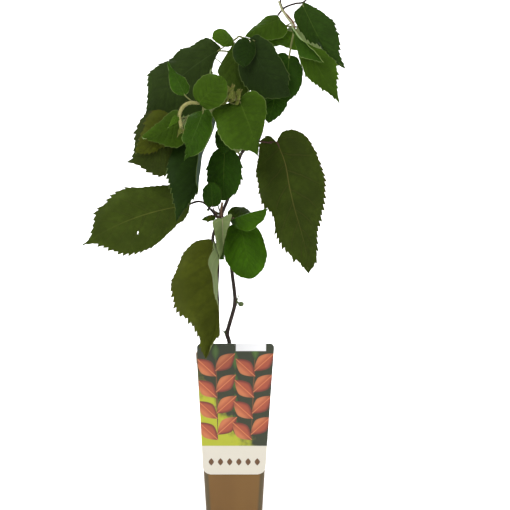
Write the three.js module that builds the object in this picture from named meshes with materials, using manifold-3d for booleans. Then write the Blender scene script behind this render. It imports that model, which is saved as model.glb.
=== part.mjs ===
// A young kiwi vine in a tall square pot with a picture card.
// Millimetres, +Z up, the origin in the middle of the pot's flat underside.
// The card faces -Y, and +X is to the right of someone who looks at it.

import * as THREE from 'three';
import { mergeVertices } from 'three/addons/utils/BufferGeometryUtils.js';
import Module from 'manifold-3d';

const wasm = await Module();
wasm.setup();

// Driving dimensions of the pot, its soil and its card
const GAP = 0.3;
const CLOSE = 1e-4;
const WELD = 1e-3;
const POT = {
  height: 210, rimWidth: 86, baseWidth: 60.5, cornerRadius: 9, wall: 1.3, floor: 1.8,
  drainRadius: 4, drainSpacing: 19,
};
const SOIL_LEVEL = 195;
const CARD = {
  top: 218, bottom: 68.5, topWidth: 87, bottomWidth: 68.5, thickness: 0.6,
  topRadius: 5, bottomRadius: 8, bottomBow: 2,
  tongueWidth: 46, tongueFoot: 200,
};

// The plant's places were measured as they are seen from the front, in the plane of the stem.
const EYE = { x: 24, z: 320, distance: 2200 };

// Stems
const STEM_FOOT_RADIUS = 2.4;
const STEM_RADIUS = 1.7;
const STEM_TIP_RADIUS = 1.2;
const SHOOT_RADIUS = 1.2;
const PETIOLE_RADIUS = 0.9;
const FLARE_HEIGHT = 12;
const LIMB_SIDES = 6;
const SEAT_TILT = 0.15;
const SIDE_RUN = 2;
const TIP_RUN = 3;
const TWIG_SIDES = 3;

// Leaves
const LEAF_THICKNESS = 0.011;
const THINNEST_LEAF = 0.7;
const BASE_WIDTH = 1.6;
const TIP_WIDTH = 0.8;
const VEIN_SLANT = 1.8;
const VEIN_CURVE = 1.25;
const SMALL_LEAF = 60;
const LEAF_ROWS = [[30, 3], [60, 5], [90, 6], [130, 8], [Infinity, 10]];
const TOOTH = 0.014;
const MIDRIB_REACH = 0.2;

// A leaf's half outline is a cubic curve from the petiole to the tip. Lobe is how far it first
// runs back past the petiole, and flank and shoulder place its last handle, all by its length.
const LEAF_SHAPES = {
  heart: { lobe: 0.55, flank: 0.82, shoulder: 0.66, drip: 0.04 },
  round: { lobe: 0.2, flank: 1.25, shoulder: 0.95, drip: 0.03 },
  oval: { lobe: 0.02, flank: 1.0, shoulder: 1.0, drip: 0.02 },
  ovate: { lobe: 0.12, flank: 0.95, shoulder: 0.8, drip: 0.06 },
  long: { lobe: 0.5, flank: 0.95, shoulder: 0.8, drip: 0.03 },
  full: { lobe: 0.1, flank: 1.04, shoulder: 0.88, drip: 0.06 },
  broad: { lobe: -0.08, flank: 1.36, shoulder: 0.82, drip: 0.02 },
  young: { lobe: 0.06, flank: 0.62, shoulder: 0.5, drip: 0.16 },
};

const TOWARDS_VIEWER = new THREE.Vector3(0, -1, 0.12);
const AWAY = new THREE.Vector3(0, 1, 0.5);
const UP = new THREE.Vector3(0, 0, 1);

// Basic helpers

function seen(x, z, y) {
  // The place at depth y that is seen at x, z in the plane of the stem
  const reach = (EYE.distance + y) / EYE.distance;
  return new THREE.Vector3(EYE.x + (x - EYE.x) * reach, y, EYE.z + (z - EYE.z) * reach);
}

function seededRandom(seed) {
  let state = seed >>> 0;
  return () => {
    state = (state + 0x6d2b79f5) >>> 0;
    let t = state;
    t = Math.imul(t ^ (t >>> 15), t | 1);
    t ^= t + Math.imul(t ^ (t >>> 7), t | 61);
    return ((t ^ (t >>> 14)) >>> 0) / 4294967296;
  };
}

function solid(geometry, weld = CLOSE) {
  const bare = geometry.clone();
  bare.deleteAttribute('normal');
  bare.deleteAttribute('uv');
  const merged = mergeVertices(bare, weld);
  return new wasm.Manifold(new wasm.Mesh({
    numProp: 3,
    vertProperties: new Float32Array(merged.attributes.position.array),
    triVerts: new Uint32Array(merged.index.array),
  }));
}

function fused(solids) {
  return solids.reduce((whole, piece) => whole.add(piece));
}

function geometryOf(whole) {
  const mesh = whole.getMesh();
  const geometry = new THREE.BufferGeometry();
  geometry.setAttribute('position', new THREE.BufferAttribute(mesh.vertProperties, 3));
  geometry.setIndex(new THREE.BufferAttribute(mesh.triVerts, 1));
  return geometry;
}

// The largest body alone: loose scraps are dropped, and so is the skin of a sealed hollow.
function mainBody(whole) {
  const bodies = solid(geometryOf(whole), WELD).decompose();
  return geometryOf(bodies.reduce((best, body) => (body.volume() > best.volume() ? body : best)));
}

// Stems and petioles

function limbRadius(radii, t) {
  const place = t * (radii.length - 1);
  const step = Math.min(Math.floor(place), radii.length - 2);
  return THREE.MathUtils.lerp(radii[step], radii[step + 1], place - step);
}

function bentRod(curve, radii, sides, steps) {
  // A straight rod whose rings are moved onto the curve
  const geometry = new THREE.CylinderGeometry(1, 1, 1, sides, steps);
  const frames = curve.computeFrenetFrames(steps, false);
  const places = geometry.attributes.position;
  for (let i = 0; i < places.count; i += 1) {
    const t = places.getY(i) + 0.5;
    const ring = Math.round(t * steps);
    const radius = limbRadius(radii, t);
    const point = curve.getPointAt(t)
      .addScaledVector(frames.normals[ring], places.getX(i) * radius)
      .addScaledVector(frames.binormals[ring], -places.getZ(i) * radius);
    places.setXYZ(i, point.x, point.y, point.z);
  }
  return solid(outward(geometry));
}

function outward(geometry) {
  // Turns the faces over where a mapping has left them pointing in
  const index = geometry.index.array;
  const places = geometry.attributes.position;
  const [a, b, c] = [new THREE.Vector3(), new THREE.Vector3(), new THREE.Vector3()];
  let volume = 0;
  for (let i = 0; i < index.length; i += 3) {
    a.fromBufferAttribute(places, index[i]);
    b.fromBufferAttribute(places, index[i + 1]);
    c.fromBufferAttribute(places, index[i + 2]);
    volume += a.dot(b.cross(c));
  }
  if (volume < 0) {
    for (let i = 0; i < index.length; i += 3) {
      [index[i + 1], index[i + 2]] = [index[i + 2], index[i + 1]];
    }
  }
  return geometry;
}

function curveThrough(points) {
  return new THREE.CatmullRomCurve3(points, false, 'centripetal');
}

class Limb {
  constructor(points, radii) {
    this.curve = curveThrough(points);
    this.radii = radii;
  }

  rod(sides, steps) {
    return bentRod(this.curve, this.radii, sides, steps);
  }

  // The parameter of the place along the limb that lies nearest to a point
  nearest(point, tries = 200) {
    let best = 0;
    for (let i = 1; i <= tries; i += 1) {
      const here = this.curve.getPointAt(i / tries).distanceTo(point);
      if (here < this.curve.getPointAt(best).distanceTo(point)) best = i / tries;
    }
    return best;
  }

  // The first two places of a side stem, clear of the limb's skin by the gap
  besides(towards, radius) {
    const t = this.nearest(towards);
    const axis = this.curve.getPointAt(t);
    const along = this.curve.getTangentAt(t);
    const out = towards.clone().sub(axis);
    out.addScaledVector(along, -out.dot(along)).normalize();
    const reach = limbRadius(this.radii, t) + GAP + radius * SEAT_TILT;
    const start = axis.addScaledVector(out, reach);
    return [start, start.clone().addScaledVector(out, SIDE_RUN)];
  }

  // The first two places of a stem that goes on past the limb's tip, clear of it by the gap
  beyondTip() {
    const ahead = this.curve.getTangentAt(1);
    const start = this.curve.getPointAt(1).addScaledVector(ahead, GAP);
    return [start, start.clone().addScaledVector(ahead, TIP_RUN)];
  }
}

// Leaves

class Leaf {
  // Base and tip are the ends of the midrib. Roll turns the blade about it and bend arches it.
  // Fold and curl drop the two halves, first the one on the left of a leaf that hangs down,
  // and tipFold is the fold at the tip. These are degrees. Sweep bows the midrib sideways.
  constructor({
    shape, base, tip, width, face = TOWARDS_VIEWER, roll = 0, twist = 0, bend = 25, sweep = 0,
    fold = [9, 9], tipFold = fold, curl = [13, 13], from = null, lift = 0.1,
  }) {
    Object.assign(this, { shape, base, tip, width, bend, sweep, from, lift });
    this.outline = LEAF_SHAPES[shape];
    this.length = base.distanceTo(tip);
    this.along = tip.clone().sub(base).normalize();
    this.normal = face.clone().addScaledVector(this.along, -face.dot(this.along)).normalize();
    this.normal.applyAxisAngle(this.along, THREE.MathUtils.degToRad(roll));
    this.side = this.along.clone().cross(this.normal);
    this.twist = THREE.MathUtils.degToRad(twist);
    this.fold = fold.map(THREE.MathUtils.degToRad);
    this.tipFold = tipFold.map(THREE.MathUtils.degToRad);
    this.curl = curl.map(THREE.MathUtils.degToRad);
    this.widest = 0;
    for (let r = 0; r <= 1; r += 0.02) this.widest = Math.max(this.widest, this.halfCurve(r)[0]);
  }

  halfCurve(r) {
    const { lobe, flank, shoulder } = this.outline;
    const s = 1 - r;
    const across = 3 * s * s * r + 3 * s * r * r * flank;
    const along = -3 * s * s * r * lobe + 3 * s * r * r * shoulder + r * r * r;
    return [across, along];
  }

  // The margin at r, from the petiole at 0 to the tip at 1, as distances across and along
  margin(r, tooth) {
    const [across, along] = this.halfCurve(r);
    const drip = this.outline.drip * THREE.MathUtils.smoothstep(r, 0.86, 1);
    const edge = across / this.widest * this.width / 2 + tooth * this.width;
    const least = THREE.MathUtils.lerp(BASE_WIDTH, TIP_WIDTH, r) / 2;
    return [Math.max(edge, least), this.length * (along * (1 - this.outline.drip) + drip)];
  }

  // A point of the blade's middle surface. Across runs from -1 to 1, r from base to tip.
  point(across, r, tooth = 0) {
    const reach = Math.abs(across);
    const [edge, edgeAlong] = this.margin(r, tooth);
    const rib = this.length * r ** VEIN_SLANT;
    const along = rib + (edgeAlong - rib) * reach ** VEIN_CURVE;
    const hand = across > 0 ? 0 : 1;
    const opened = THREE.MathUtils.smoothstep(rib / this.length, 0.4, 0.9);
    const start = THREE.MathUtils.lerp(this.fold[hand], this.tipFold[hand], opened);
    const turn = this.curl[hand] * 2 * edge / this.width;
    const out = edge * reach;
    const angle = start + turn * reach;
    const flat = turn > 1e-4
      ? edge / turn * (Math.sin(angle) - Math.sin(start))
      : out * Math.cos(start);
    const drop = turn > 1e-4
      ? edge / turn * (Math.cos(start) - Math.cos(angle))
      : out * Math.sin(start);
    return this.placed(along / this.length, Math.sign(across) * flat, -drop);
  }

  // Carries a place beside the midrib along the arch that the midrib follows
  placed(u, sideways, height) {
    const bend = Math.max(THREE.MathUtils.degToRad(this.bend), 1e-3);
    const radius = this.length / (2 * Math.sin(bend / 2));
    const angle = bend * (u - 0.5);
    const chord = radius * (Math.sin(angle) + Math.sin(bend / 2));
    const rise = radius * (Math.cos(angle) - Math.cos(bend / 2));
    const normal = this.normal.clone().multiplyScalar(Math.cos(angle))
      .addScaledVector(this.along, Math.sin(angle));
    const roll = this.twist * u;
    const side = this.side.clone().multiplyScalar(Math.cos(roll))
      .addScaledVector(normal, Math.sin(roll));
    const top = normal.multiplyScalar(Math.cos(roll)).addScaledVector(this.side, -Math.sin(roll));
    const swept = sideways + this.sweep * this.length * 4 * u * (1 - u);
    return this.base.clone().addScaledVector(this.along, chord).addScaledVector(this.normal, rise)
      .addScaledVector(side, swept).addScaledVector(top, height);
  }

  normalAt(across, r) {
    const step = 0.02;
    const left = this.point(Math.max(across - step, -1), r);
    const right = this.point(Math.min(across + step, 1), r);
    const back = this.point(across, Math.max(r - step, 0));
    const front = this.point(across, Math.min(r + step, 1));
    return right.sub(left).cross(front.sub(back)).normalize();
  }

  blade() {
    const rows = LEAF_ROWS.find(([longest]) => this.length < longest)[1];
    const thickness = Math.max(this.length * LEAF_THICKNESS, THINNEST_LEAF);
    const geometry = new THREE.BoxGeometry(2, 1, 1, 4, 1, rows);
    const places = geometry.attributes.position;
    for (let i = 0; i < places.count; i += 1) {
      const across = places.getX(i);
      const r = places.getZ(i) + 0.5;
      const row = Math.round(r * rows);
      const toothed = this.length > SMALL_LEAF && row % 2 === 1 && row > 2;
      const point = this.point(across, r, toothed ? TOOTH : 0)
        .addScaledVector(this.normalAt(across, r), places.getY(i) * thickness);
      places.setXYZ(i, point.x, point.y, point.z);
    }
    return solid(outward(geometry));
  }

  // The petiole runs from the stem into the blade and on along the midrib
  petiole() {
    const into = this.placed(0.04, 0, 0).sub(this.base).normalize();
    const span = this.from.distanceTo(this.base);
    const start = this.from.clone().lerp(this.base, 0.4).addScaledVector(UP, span * this.lift);
    const end = this.base.clone().addScaledVector(into, -span * 0.3);
    const reach = new THREE.CubicBezierCurve3(this.from, start, end, this.base);
    const steps = Math.max(2, Math.round(span / 18));
    const points = reach.getPoints(steps);
    for (const u of [0.08, MIDRIB_REACH]) points.push(this.placed(u, 0, -0.2));
    const radii = [1.15, 1, 0.8, 0.55].map((share) => share * PETIOLE_RADIUS);
    return bentRod(curveThrough(points), radii, TWIG_SIDES, steps + 2);
  }

  rimPoints() {
    const rim = [];
    for (const r of [0.15, 0.35, 0.6, 0.85, 1]) {
      rim.push(this.point(-1, r), this.point(1, r), this.point(0, r));
    }
    return rim;
  }
}

// The pot, soil and card

function roundedSquare(width, radius) {
  const half = width / 2;
  const inner = half - radius;
  const shape = new THREE.Shape();
  shape.moveTo(half, -inner);
  shape.lineTo(half, inner);
  shape.absarc(inner, inner, radius, 0, Math.PI / 2, false);
  shape.absarc(-inner, inner, radius, Math.PI / 2, Math.PI, false);
  shape.absarc(-inner, -inner, radius, Math.PI, 1.5 * Math.PI, false);
  shape.absarc(inner, -inner, radius, 1.5 * Math.PI, 2 * Math.PI, false);
  return shape;
}

function potWidth(z) {
  return THREE.MathUtils.lerp(POT.baseWidth, POT.rimWidth, z / POT.height);
}

function taperedBlock(bottom, top, inset) {
  // A rounded square block whose sides follow the pot's taper, inset from its outside
  const low = potWidth(bottom) - 2 * inset;
  const high = potWidth(top) - 2 * inset;
  const geometry = new THREE.ExtrudeGeometry(roundedSquare(low, POT.cornerRadius - inset), {
    depth: top - bottom, bevelEnabled: false, steps: 1, curveSegments: 5,
  });
  const places = geometry.attributes.position;
  for (let i = 0; i < places.count; i += 1) {
    const grow = THREE.MathUtils.lerp(1, high / low, places.getZ(i) / (top - bottom));
    places.setXYZ(i, places.getX(i) * grow, places.getY(i) * grow, places.getZ(i) + bottom);
  }
  return solid(geometry);
}

function makePot() {
  const shell = taperedBlock(0, POT.height, 0);
  const cavity = taperedBlock(POT.floor, POT.height + 1, POT.wall);
  const drains = [];
  for (const x of [-1, 1]) {
    for (const y of [-1, 1]) {
      const drain = new THREE.CylinderGeometry(POT.drainRadius, POT.drainRadius, 8, 14);
      drain.rotateX(Math.PI / 2).translate(x * POT.drainSpacing, y * POT.drainSpacing, 0);
      drains.push(solid(drain));
    }
  }
  return shell.subtract(cavity).subtract(fused(drains));
}

function makeSoil() {
  return taperedBlock(POT.floor + GAP, SOIL_LEVEL, POT.wall + GAP);
}

function frontFace(z) {
  return -potWidth(z) / 2;
}

function makeCard() {
  // The panel lies along the pot's front, and a tongue at its top hooks over the rim.
  const { top, bottom, topWidth, bottomWidth, thickness, topRadius, bottomRadius } = CARD;
  const outline = new THREE.Shape();
  const [high, low] = [topWidth / 2, bottomWidth / 2];
  outline.moveTo(-low + bottomRadius, bottom);
  outline.quadraticCurveTo(0, bottom - CARD.bottomBow, low - bottomRadius, bottom);
  outline.quadraticCurveTo(low, bottom, low + 0.5, bottom + bottomRadius);
  outline.lineTo(high - 0.3, top - topRadius);
  outline.quadraticCurveTo(high, top, high - topRadius, top);
  outline.lineTo(-high + topRadius, top);
  outline.quadraticCurveTo(-high, top, -high + 0.3, top - topRadius);
  outline.lineTo(-low - 0.5, bottom + bottomRadius);
  outline.quadraticCurveTo(-low, bottom, -low + bottomRadius, bottom);
  const panel = new THREE.ExtrudeGeometry(outline, {
    depth: thickness, bevelEnabled: false, curveSegments: 6,
  });
  panel.rotateX(Math.PI / 2);
  const places = panel.attributes.position;
  for (let i = 0; i < places.count; i += 1) {
    const z = places.getZ(i);
    places.setY(i, frontFace(z) - GAP + places.getY(i));
  }
  const outer = frontFace(top) - GAP - thickness;
  const inner = frontFace(POT.height) + POT.wall + GAP;
  const hook = new THREE.Shape();
  hook.moveTo(outer + 0.1, top - 0.2);
  hook.lineTo(inner + thickness, top - 0.2);
  hook.lineTo(frontFace(CARD.tongueFoot) + POT.wall + GAP + thickness, CARD.tongueFoot);
  hook.lineTo(frontFace(CARD.tongueFoot) + POT.wall + GAP, CARD.tongueFoot);
  hook.lineTo(inner, POT.height);
  hook.lineTo(inner, top - 0.2 - thickness);
  hook.lineTo(outer + 0.1, top - 0.2 - thickness);
  const tongue = new THREE.ExtrudeGeometry(hook, { depth: CARD.tongueWidth, bevelEnabled: false });
  tongue.rotateX(Math.PI / 2).rotateZ(Math.PI / 2).translate(-CARD.tongueWidth / 2, 0, 0);
  return solid(outward(indexed(panel))).add(solid(outward(indexed(tongue))));
}

function indexed(geometry) {
  geometry.deleteAttribute('normal');
  geometry.deleteAttribute('uv');
  return mergeVertices(geometry, CLOSE);
}

// The stems

function placesOf(rows) {
  return rows.map(([x, z, y]) => seen(x, z, y));
}

const mainStem = new Limb(placesOf([
  [-5, SOIL_LEVEL + GAP, 0], [-5, 202, 0], [-6, 220, 0], [-8.6, 230, 0], [-7, 237, 0],
  [0.5, 264, -1], [0.5, 272, -1], [-3.2, 304, 0], [-5, 330, 1], [-13, 357, 2], [-15, 366, 1],
  [-12.5, 373, 1], [-8, 384, 2], [0, 408, 5], [8, 437, 8], [19, 448, 4], [27, 453, -4],
  [32, 467, -6], [33, 482, 2], [28, 494, 9], [31, 512, 7], [38, 530, -3], [34, 548, -2],
  [33, 566, 5], [41, 582, 3], [50, 596, 0],
]), [STEM_FOOT_RADIUS, STEM_RADIUS, STEM_RADIUS, STEM_RADIUS, STEM_TIP_RADIUS]);

const topArc = new Limb([
  ...mainStem.beyondTip(),
  ...placesOf([
    [58, 605, -2], [70, 609.5, -3], [79, 611, -3], [84, 617, 0], [83, 628, 3], [74, 635, 4],
    [62, 632, 0], [54, 621, -8], [53, 611, -13], [56, 603, -15],
  ]),
], [STEM_TIP_RADIUS, 1.1, 0.9]);

const leftShoot = new Limb([
  ...mainStem.besides(seen(24, 486, -8), SHOOT_RADIUS),
  ...placesOf([[18, 493, -24], [8, 499, -38], [-2, 501, -46]]),
], [SHOOT_RADIUS, 1.1]);

const lowerLeftShoot = new Limb([
  ...mainStem.besides(seen(22, 506, 14), SHOOT_RADIUS),
  ...placesOf([[8, 506, 12], [-10, 496, 6], [-26, 486, -2]]),
], [SHOOT_RADIUS, 1]);

const upperLeftShoot = new Limb([
  ...mainStem.besides(seen(25, 560, 4), SHOOT_RADIUS),
  ...placesOf([[18, 568, 4], [8, 571, 0]]),
], [SHOOT_RADIUS, 1]);

const backShoot = new Limb([
  ...mainStem.besides(seen(26, 530, 16), SHOOT_RADIUS),
  ...placesOf([[22, 538, 22], [14, 546, 36]]),
], [SHOOT_RADIUS, 1]);

function bud(x, z, y, radius, stretch) {
  const ball = new THREE.SphereGeometry(radius, 6, 4);
  const place = seen(x, z, y);
  ball.scale(1, 1, stretch).translate(place.x, place.y, place.z);
  return solid(ball);
}

function sprig(points, radii) {
  return bentRod(curveThrough(points), radii, TWIG_SIDES, 3);
}

function makeMainStem() {
  const stem = mainStem.rod(LIMB_SIDES, 96);
  const foot = mainStem.curve.getPointAt(0);
  const flare = new THREE.CylinderGeometry(STEM_RADIUS, STEM_FOOT_RADIUS + 1, FLARE_HEIGHT, 9, 3);
  flare.rotateX(Math.PI / 2).translate(foot.x, foot.y, foot.z + FLARE_HEIGHT / 2);
  return mainBody(fused([
    stem,
    solid(flare),
    bud(3.5, 266, -4, 1.6, 1),
    bud(7.5, 264, -5, 3.3, 0.9),
    sprig(placesOf([[2, 266, -2], [4, 271, -4], [5.5, 276, -5]]), [1, 0.5]),
    bud(-10.5, 231.5, -1, 1.6, 1.3),
    sprig(placesOf([[-15, 366, 1], [-22, 370, -2], [-27, 373, -3]]), [1.6, 1.5]),
    sprig(placesOf([[-15, 366, 1], [-18, 374, -1], [-19.5, 380, -2]]), [1.4, 0.8]),
    bud(-36, 362, -4, 2.6, 0.9),
    sprig(placesOf([[-24, 371, -2], [-30, 364, -4], [-36, 362, -4]]), [1.2, 1]),
  ]));
}

// The masses of leaves. Each row gives a leaf's shape, the ends of its midrib as seen and their
// depths, its width, where on the mass's stem its petiole begins, and how it lies.

function leaf(shape, base, tip, width, from, lie) {
  return new Leaf({
    shape, base: seen(...base), tip: seen(...tip), width, from: seen(...from), ...lie,
  });
}

const lowStem = [
  ...mainStem.besides(seen(-20, 360, -6), 1.5),
  ...placesOf([[-17, 361, -7], [-14, 362, -13]]),
];
const LOW_LEAVES = [
  leaf('full', [-57, 377, -12], [-175, 332, -26], 78, [-17, 361, -7], {
    roll: 4, bend: 22, sweep: 0.05, lift: 0.6,
  }),
  leaf('ovate', [-27, 338, -20], [-33, 201, -62], 97, [-15, 361, -11], {
    roll: -10, bend: 20, sweep: -0.03, fold: [8, -104], tipFold: [8, -72], curl: [14, 4], lift: 0,
  }),
  leaf('ovate', [-14, 362, -18], [-12, 315, -34], 36, [-14, 362, -12], {
    roll: 172, bend: 20, fold: [58, 30], curl: [20, 10],
  }),
  leaf('oval', [6, 359, -10], [19, 293, -24], 51, [-14, 362, -12], { roll: -6, bend: 22 }),
  leaf('oval', [-4, 360, -18], [39, 374, -52], 34, [-14, 362, -12], { roll: -50, bend: 18 }),
  leaf('oval', [-8, 365, -2], [22, 366, 16], 34, [-16, 361, -8], {
    roll: -30, bend: 30, lift: 0.2,
  }),
  leaf('ovate', [10, 354, 16], [24, 304, 38], 36, [-14, 362, -4], { face: AWAY, bend: 24 }),
  leaf('round', [-25, 376, -31], [-27, 404, -42], 23, [-16, 361, -9], { roll: -4, bend: 16 }),
];

const middleStem = [
  ...mainStem.besides(seen(0, 440, -4), 1.2),
  ...placesOf([[-2, 449, -6], [-8, 456, -10]]),
];
const MIDDLE_LEAVES = [
  leaf('oval', [-11, 444, -26], [-13, 383, -21], 43, [-7, 455, -9], { roll: 8, bend: 24 }),
  leaf('ovate', [-9, 468, -34], [-13.5, 436, -37], 26, [-7, 455, -9], { roll: 10, bend: 16 }),
];

const rightStem = [
  ...mainStem.besides(seen(30, 450, -12), 1.2),
  ...placesOf([[36, 450, -12], [43, 449, -13]]),
];
const RIGHT_LEAVES = [
  leaf('long', [54, 446, -14], [87, 296, -34], 80, [40, 450, -12.5], {
    roll: -6, bend: 22, sweep: -0.02, lift: 0.2,
  }),
];

const tipStem = [
  ...leftShoot.beyondTip(),
  ...placesOf([
    [-14, 499, -51], [-28, 495.5, -53], [-40, 495, -55], [-51, 495.5, -58], [-59, 491, -61],
    [-63.3, 481, -63], [-61.5, 469, -63], [-60, 461, -62],
  ]),
];
const TIP_LEAVES = [
  leaf('heart', [-1, 494, -56], [28, 432, -70], 69, [-10, 500, -49.5], {
    roll: 4, bend: 22, sweep: 0.04, lift: 0.3,
  }),
  leaf('round', [-42, 498, -62], [-14, 526, -72], 39, [-42, 495, -55], { roll: 6, bend: 30 }),
  leaf('young', [-57, 504, -60], [-77, 544, -62], 21, [-46, 495, -56], { roll: 10, bend: 16 }),
  leaf('heart', [-36, 485, -62], [-58, 429, -78], 40, [-38, 495, -54], { roll: -6, bend: 22 }),
  leaf('young', [-65, 480, -65], [-77, 466, -68], 8, [-63, 482, -63], { bend: 16 }),
  leaf('young', [-6, 505, -58], [-2, 517, -62], 12, [-14, 499, -51], { roll: 60, bend: 30 }),
  leaf('young', [2, 499, -60], [9, 511, -60], 9, [-9, 500, -49], { roll: -50, bend: 30 }),
];

const leftStem = [
  ...lowerLeftShoot.beyondTip(),
  ...placesOf([[-36, 482, -10], [-47, 480, -18], [-56, 478, -26]]),
];
const LEFT_LEAVES = [
  leaf('ovate', [-60, 472, -38], [-104, 453, -50], 38, [-55, 478, -25], { roll: -4, bend: 18 }),
  leaf('ovate', [-63, 476, -30], [-114, 437, -40], 42, [-51, 479, -22], { bend: 18 }),
  leaf('ovate', [-68, 471, -22], [-124, 427, -30], 68, [-45, 480, -16], {
    roll: 6, bend: 20, sweep: -0.13,
  }),
  leaf('ovate', [-36, 466, -12], [-67, 357, -44], 50, [-34, 483, -8], {
    roll: -10, bend: 20, sweep: -0.04, fold: [10, -100], tipFold: [10, 10], curl: [14, 10],
  }),
];

const upperLeftStem = [
  ...upperLeftShoot.beyondTip(),
  ...placesOf([[3, 570, -3], [-3, 566, -6]]),
];
const UPPER_LEFT_LEAVES = [
  leaf('broad', [-16, 557, -4], [-103, 478, 4], 80, [-2, 566, -5], {
    roll: 8, bend: 20, sweep: 0.05,
  }),
  leaf('ovate', [0, 562, -14], [0, 506, -26], 33, [-2, 566, -6], { roll: -10, bend: 22 }),
  leaf('ovate', [-1, 567, -10], [-27, 577, -18], 18, [1, 568, -4], { roll: 8, bend: 24 }),
];

const centreStem = [
  ...mainStem.besides(seen(34, 556, -9), 1.2),
  ...placesOf([[31, 560, -16], [27, 562, -24]]),
];
const CENTRE_LEAVES = [
  leaf('round', [20, 562, -32], [65, 504, -38], 59, [28, 562, -23], {
    roll: 4, bend: 22, sweep: 0.09,
  }),
  leaf('round', [18, 566, -40], [11, 536, -46], 27, [28, 562, -23], { roll: -8, bend: 26 }),
];

const upperStem = [
  ...mainStem.besides(seen(46, 586, -6), 1),
  ...placesOf([[50, 585, -8], [56, 580, -10]]),
];
const UPPER_LEAVES = [
  leaf('broad', [52, 592, -8], [13, 571, -16], 33, [50, 585, -8], { roll: 10, bend: 30 }),
  leaf('ovate', [74, 572, 0], [38, 560, -9], 26, [56, 580, -10], { roll: -10, bend: 20 }),
];

const lowCentreStem = [
  ...mainStem.besides(seen(44, 524, -6), 1),
  ...placesOf([[46, 519, -6], [49, 516, -6]]),
];
const LOW_CENTRE_LEAVES = [
  leaf('ovate', [50, 512, -7], [38.5, 472, -12], 31, [48, 517, -6], { roll: 4, bend: 20 }),
];

const topStem = [
  ...topArc.beyondTip(),
  ...placesOf([[61, 596, -16], [68, 587, -17], [69.3, 580, -18]]),
];
const TOP_LEAVES = [
  leaf('ovate', [78, 566, -27], [121, 494, -34], 39, [69, 581, -18], { roll: 6, bend: 22 }),
  leaf('ovate', [70, 579, -28], [102.5, 542, -46], 24, [69.3, 580, -18], {
    bend: 16, fold: [12, -104], tipFold: [12, -60], curl: [10, 10],
  }),
  leaf('heart', [63, 549, -20], [58, 496, -26], 44, [69, 580, -18], { bend: 22, lift: 0 }),
];

const rightTopStem = [
  ...topArc.besides(seen(82, 605, -9), 1),
  ...placesOf([[81, 606, -8], [82, 603, -9]]),
];
const RIGHT_TOP_LEAVES = [
  leaf('ovate', [80, 602.5, -10.5], [129, 533, -14], 47, [81, 606, -8], {
    roll: 6, bend: 24, sweep: 0.08, lift: 0,
  }),
];

const leaderStem = [
  ...topArc.besides(seen(92, 620, 2), 1),
  ...placesOf([[92, 627, 2], [97, 637, 3], [99, 645, 1]]),
];
const LEADER_LEAVES = [
  leaf('young', [104, 634, -3], [126, 626, -12], 18, [97, 636, 3], { bend: 24 }),
  leaf('young', [99, 648, 5], [104, 662, 14], 9, [98.5, 643, 2], { roll: 20, bend: 20 }),
];

// The leaves at the back grow along side shoots by a seeded rule. Each shoot keeps to its own
// space, and a leaf that would leave it or come near the main stem is skipped.

const BACK_SPACES = {
  low: { min: [-33, 12, 384], max: [3, 92, 452] },
  middle: { min: [-92, 26, 424], max: [30, 112, 516] },
  upper: { min: [-80, 22, 500], max: [60, 112, 570] },
  right: { min: [72, 16, 512], max: [118, 100, 598] },
};
const STEM_CLEARANCE = 5;
const GOLDEN_TURN = THREE.MathUtils.degToRad(137.5);

function isInside({ min, max }, point) {
  return ['x', 'y', 'z'].every((axis, i) => point[axis] >= min[i] && point[axis] <= max[i]);
}

function staysClear(candidate, space) {
  return candidate.rimPoints().every((point) => {
    const onStem = mainStem.curve.getPointAt(mainStem.nearest(point, 60));
    return isInside(space, point) && onStem.distanceTo(point) > STEM_CLEARANCE;
  });
}

function backLeaves(stem, space, { seed, tries, most, longest }) {
  const random = seededRandom(seed);
  const curve = curveThrough(stem);
  const leaves = [];
  for (let i = 0; i < tries && leaves.length < most; i += 1) {
    const t = 0.3 + 0.7 * random();
    const from = curve.getPointAt(t);
    const turn = i * GOLDEN_TURN + random() * 0.6;
    const out = new THREE.Vector3(Math.cos(turn), 0.35 + 0.4 * random(), Math.sin(turn) * 0.6);
    const length = longest * (0.62 + 0.38 * random());
    const base = from.clone().addScaledVector(out.normalize(), length * (0.22 + 0.2 * random()));
    const fall = new THREE.Vector3(out.x * 0.9, 0.25 + 0.3 * random(), -0.65 - 0.35 * random());
    const tip = base.clone().addScaledVector(fall.normalize(), length);
    const face = new THREE.Vector3(out.x * 0.4, 1, 0.55);
    const candidate = new Leaf({
      shape: random() < 0.4 ? 'heart' : 'ovate', base, tip, face, from,
      width: length * (0.58 + 0.14 * random()), bend: 20 + 14 * random(), lift: 0.1,
    });
    const apart = leaves.every((other) => other.point(0, 0.7).distanceTo(candidate.point(0, 0.7))
      > longest * 0.42);
    if (apart && staysClear(candidate, space)) leaves.push(candidate);
  }
  return leaves;
}

const backMiddleStem = [
  ...mainStem.besides(seen(28, 494, 24), 1.1),
  ...placesOf([[14, 498, 36], [-12, 492, 52], [-46, 484, 60]]),
];
const backUpperStem = [
  ...backShoot.beyondTip(),
  ...placesOf([[4, 552, 44], [-18, 555, 52], [-46, 548, 56]]),
];
const backLowStem = [
  ...mainStem.besides(seen(2, 424, 20), 1.1),
  ...placesOf([[-2, 434, 24], [-8, 442, 34], [-14, 444, 46]]),
];
const backRightStem = [
  ...mainStem.besides(seen(48, 588, 12), 1.1),
  ...placesOf([[58, 584, 26], [76, 582, 38], [96, 576, 46]]),
];

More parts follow.
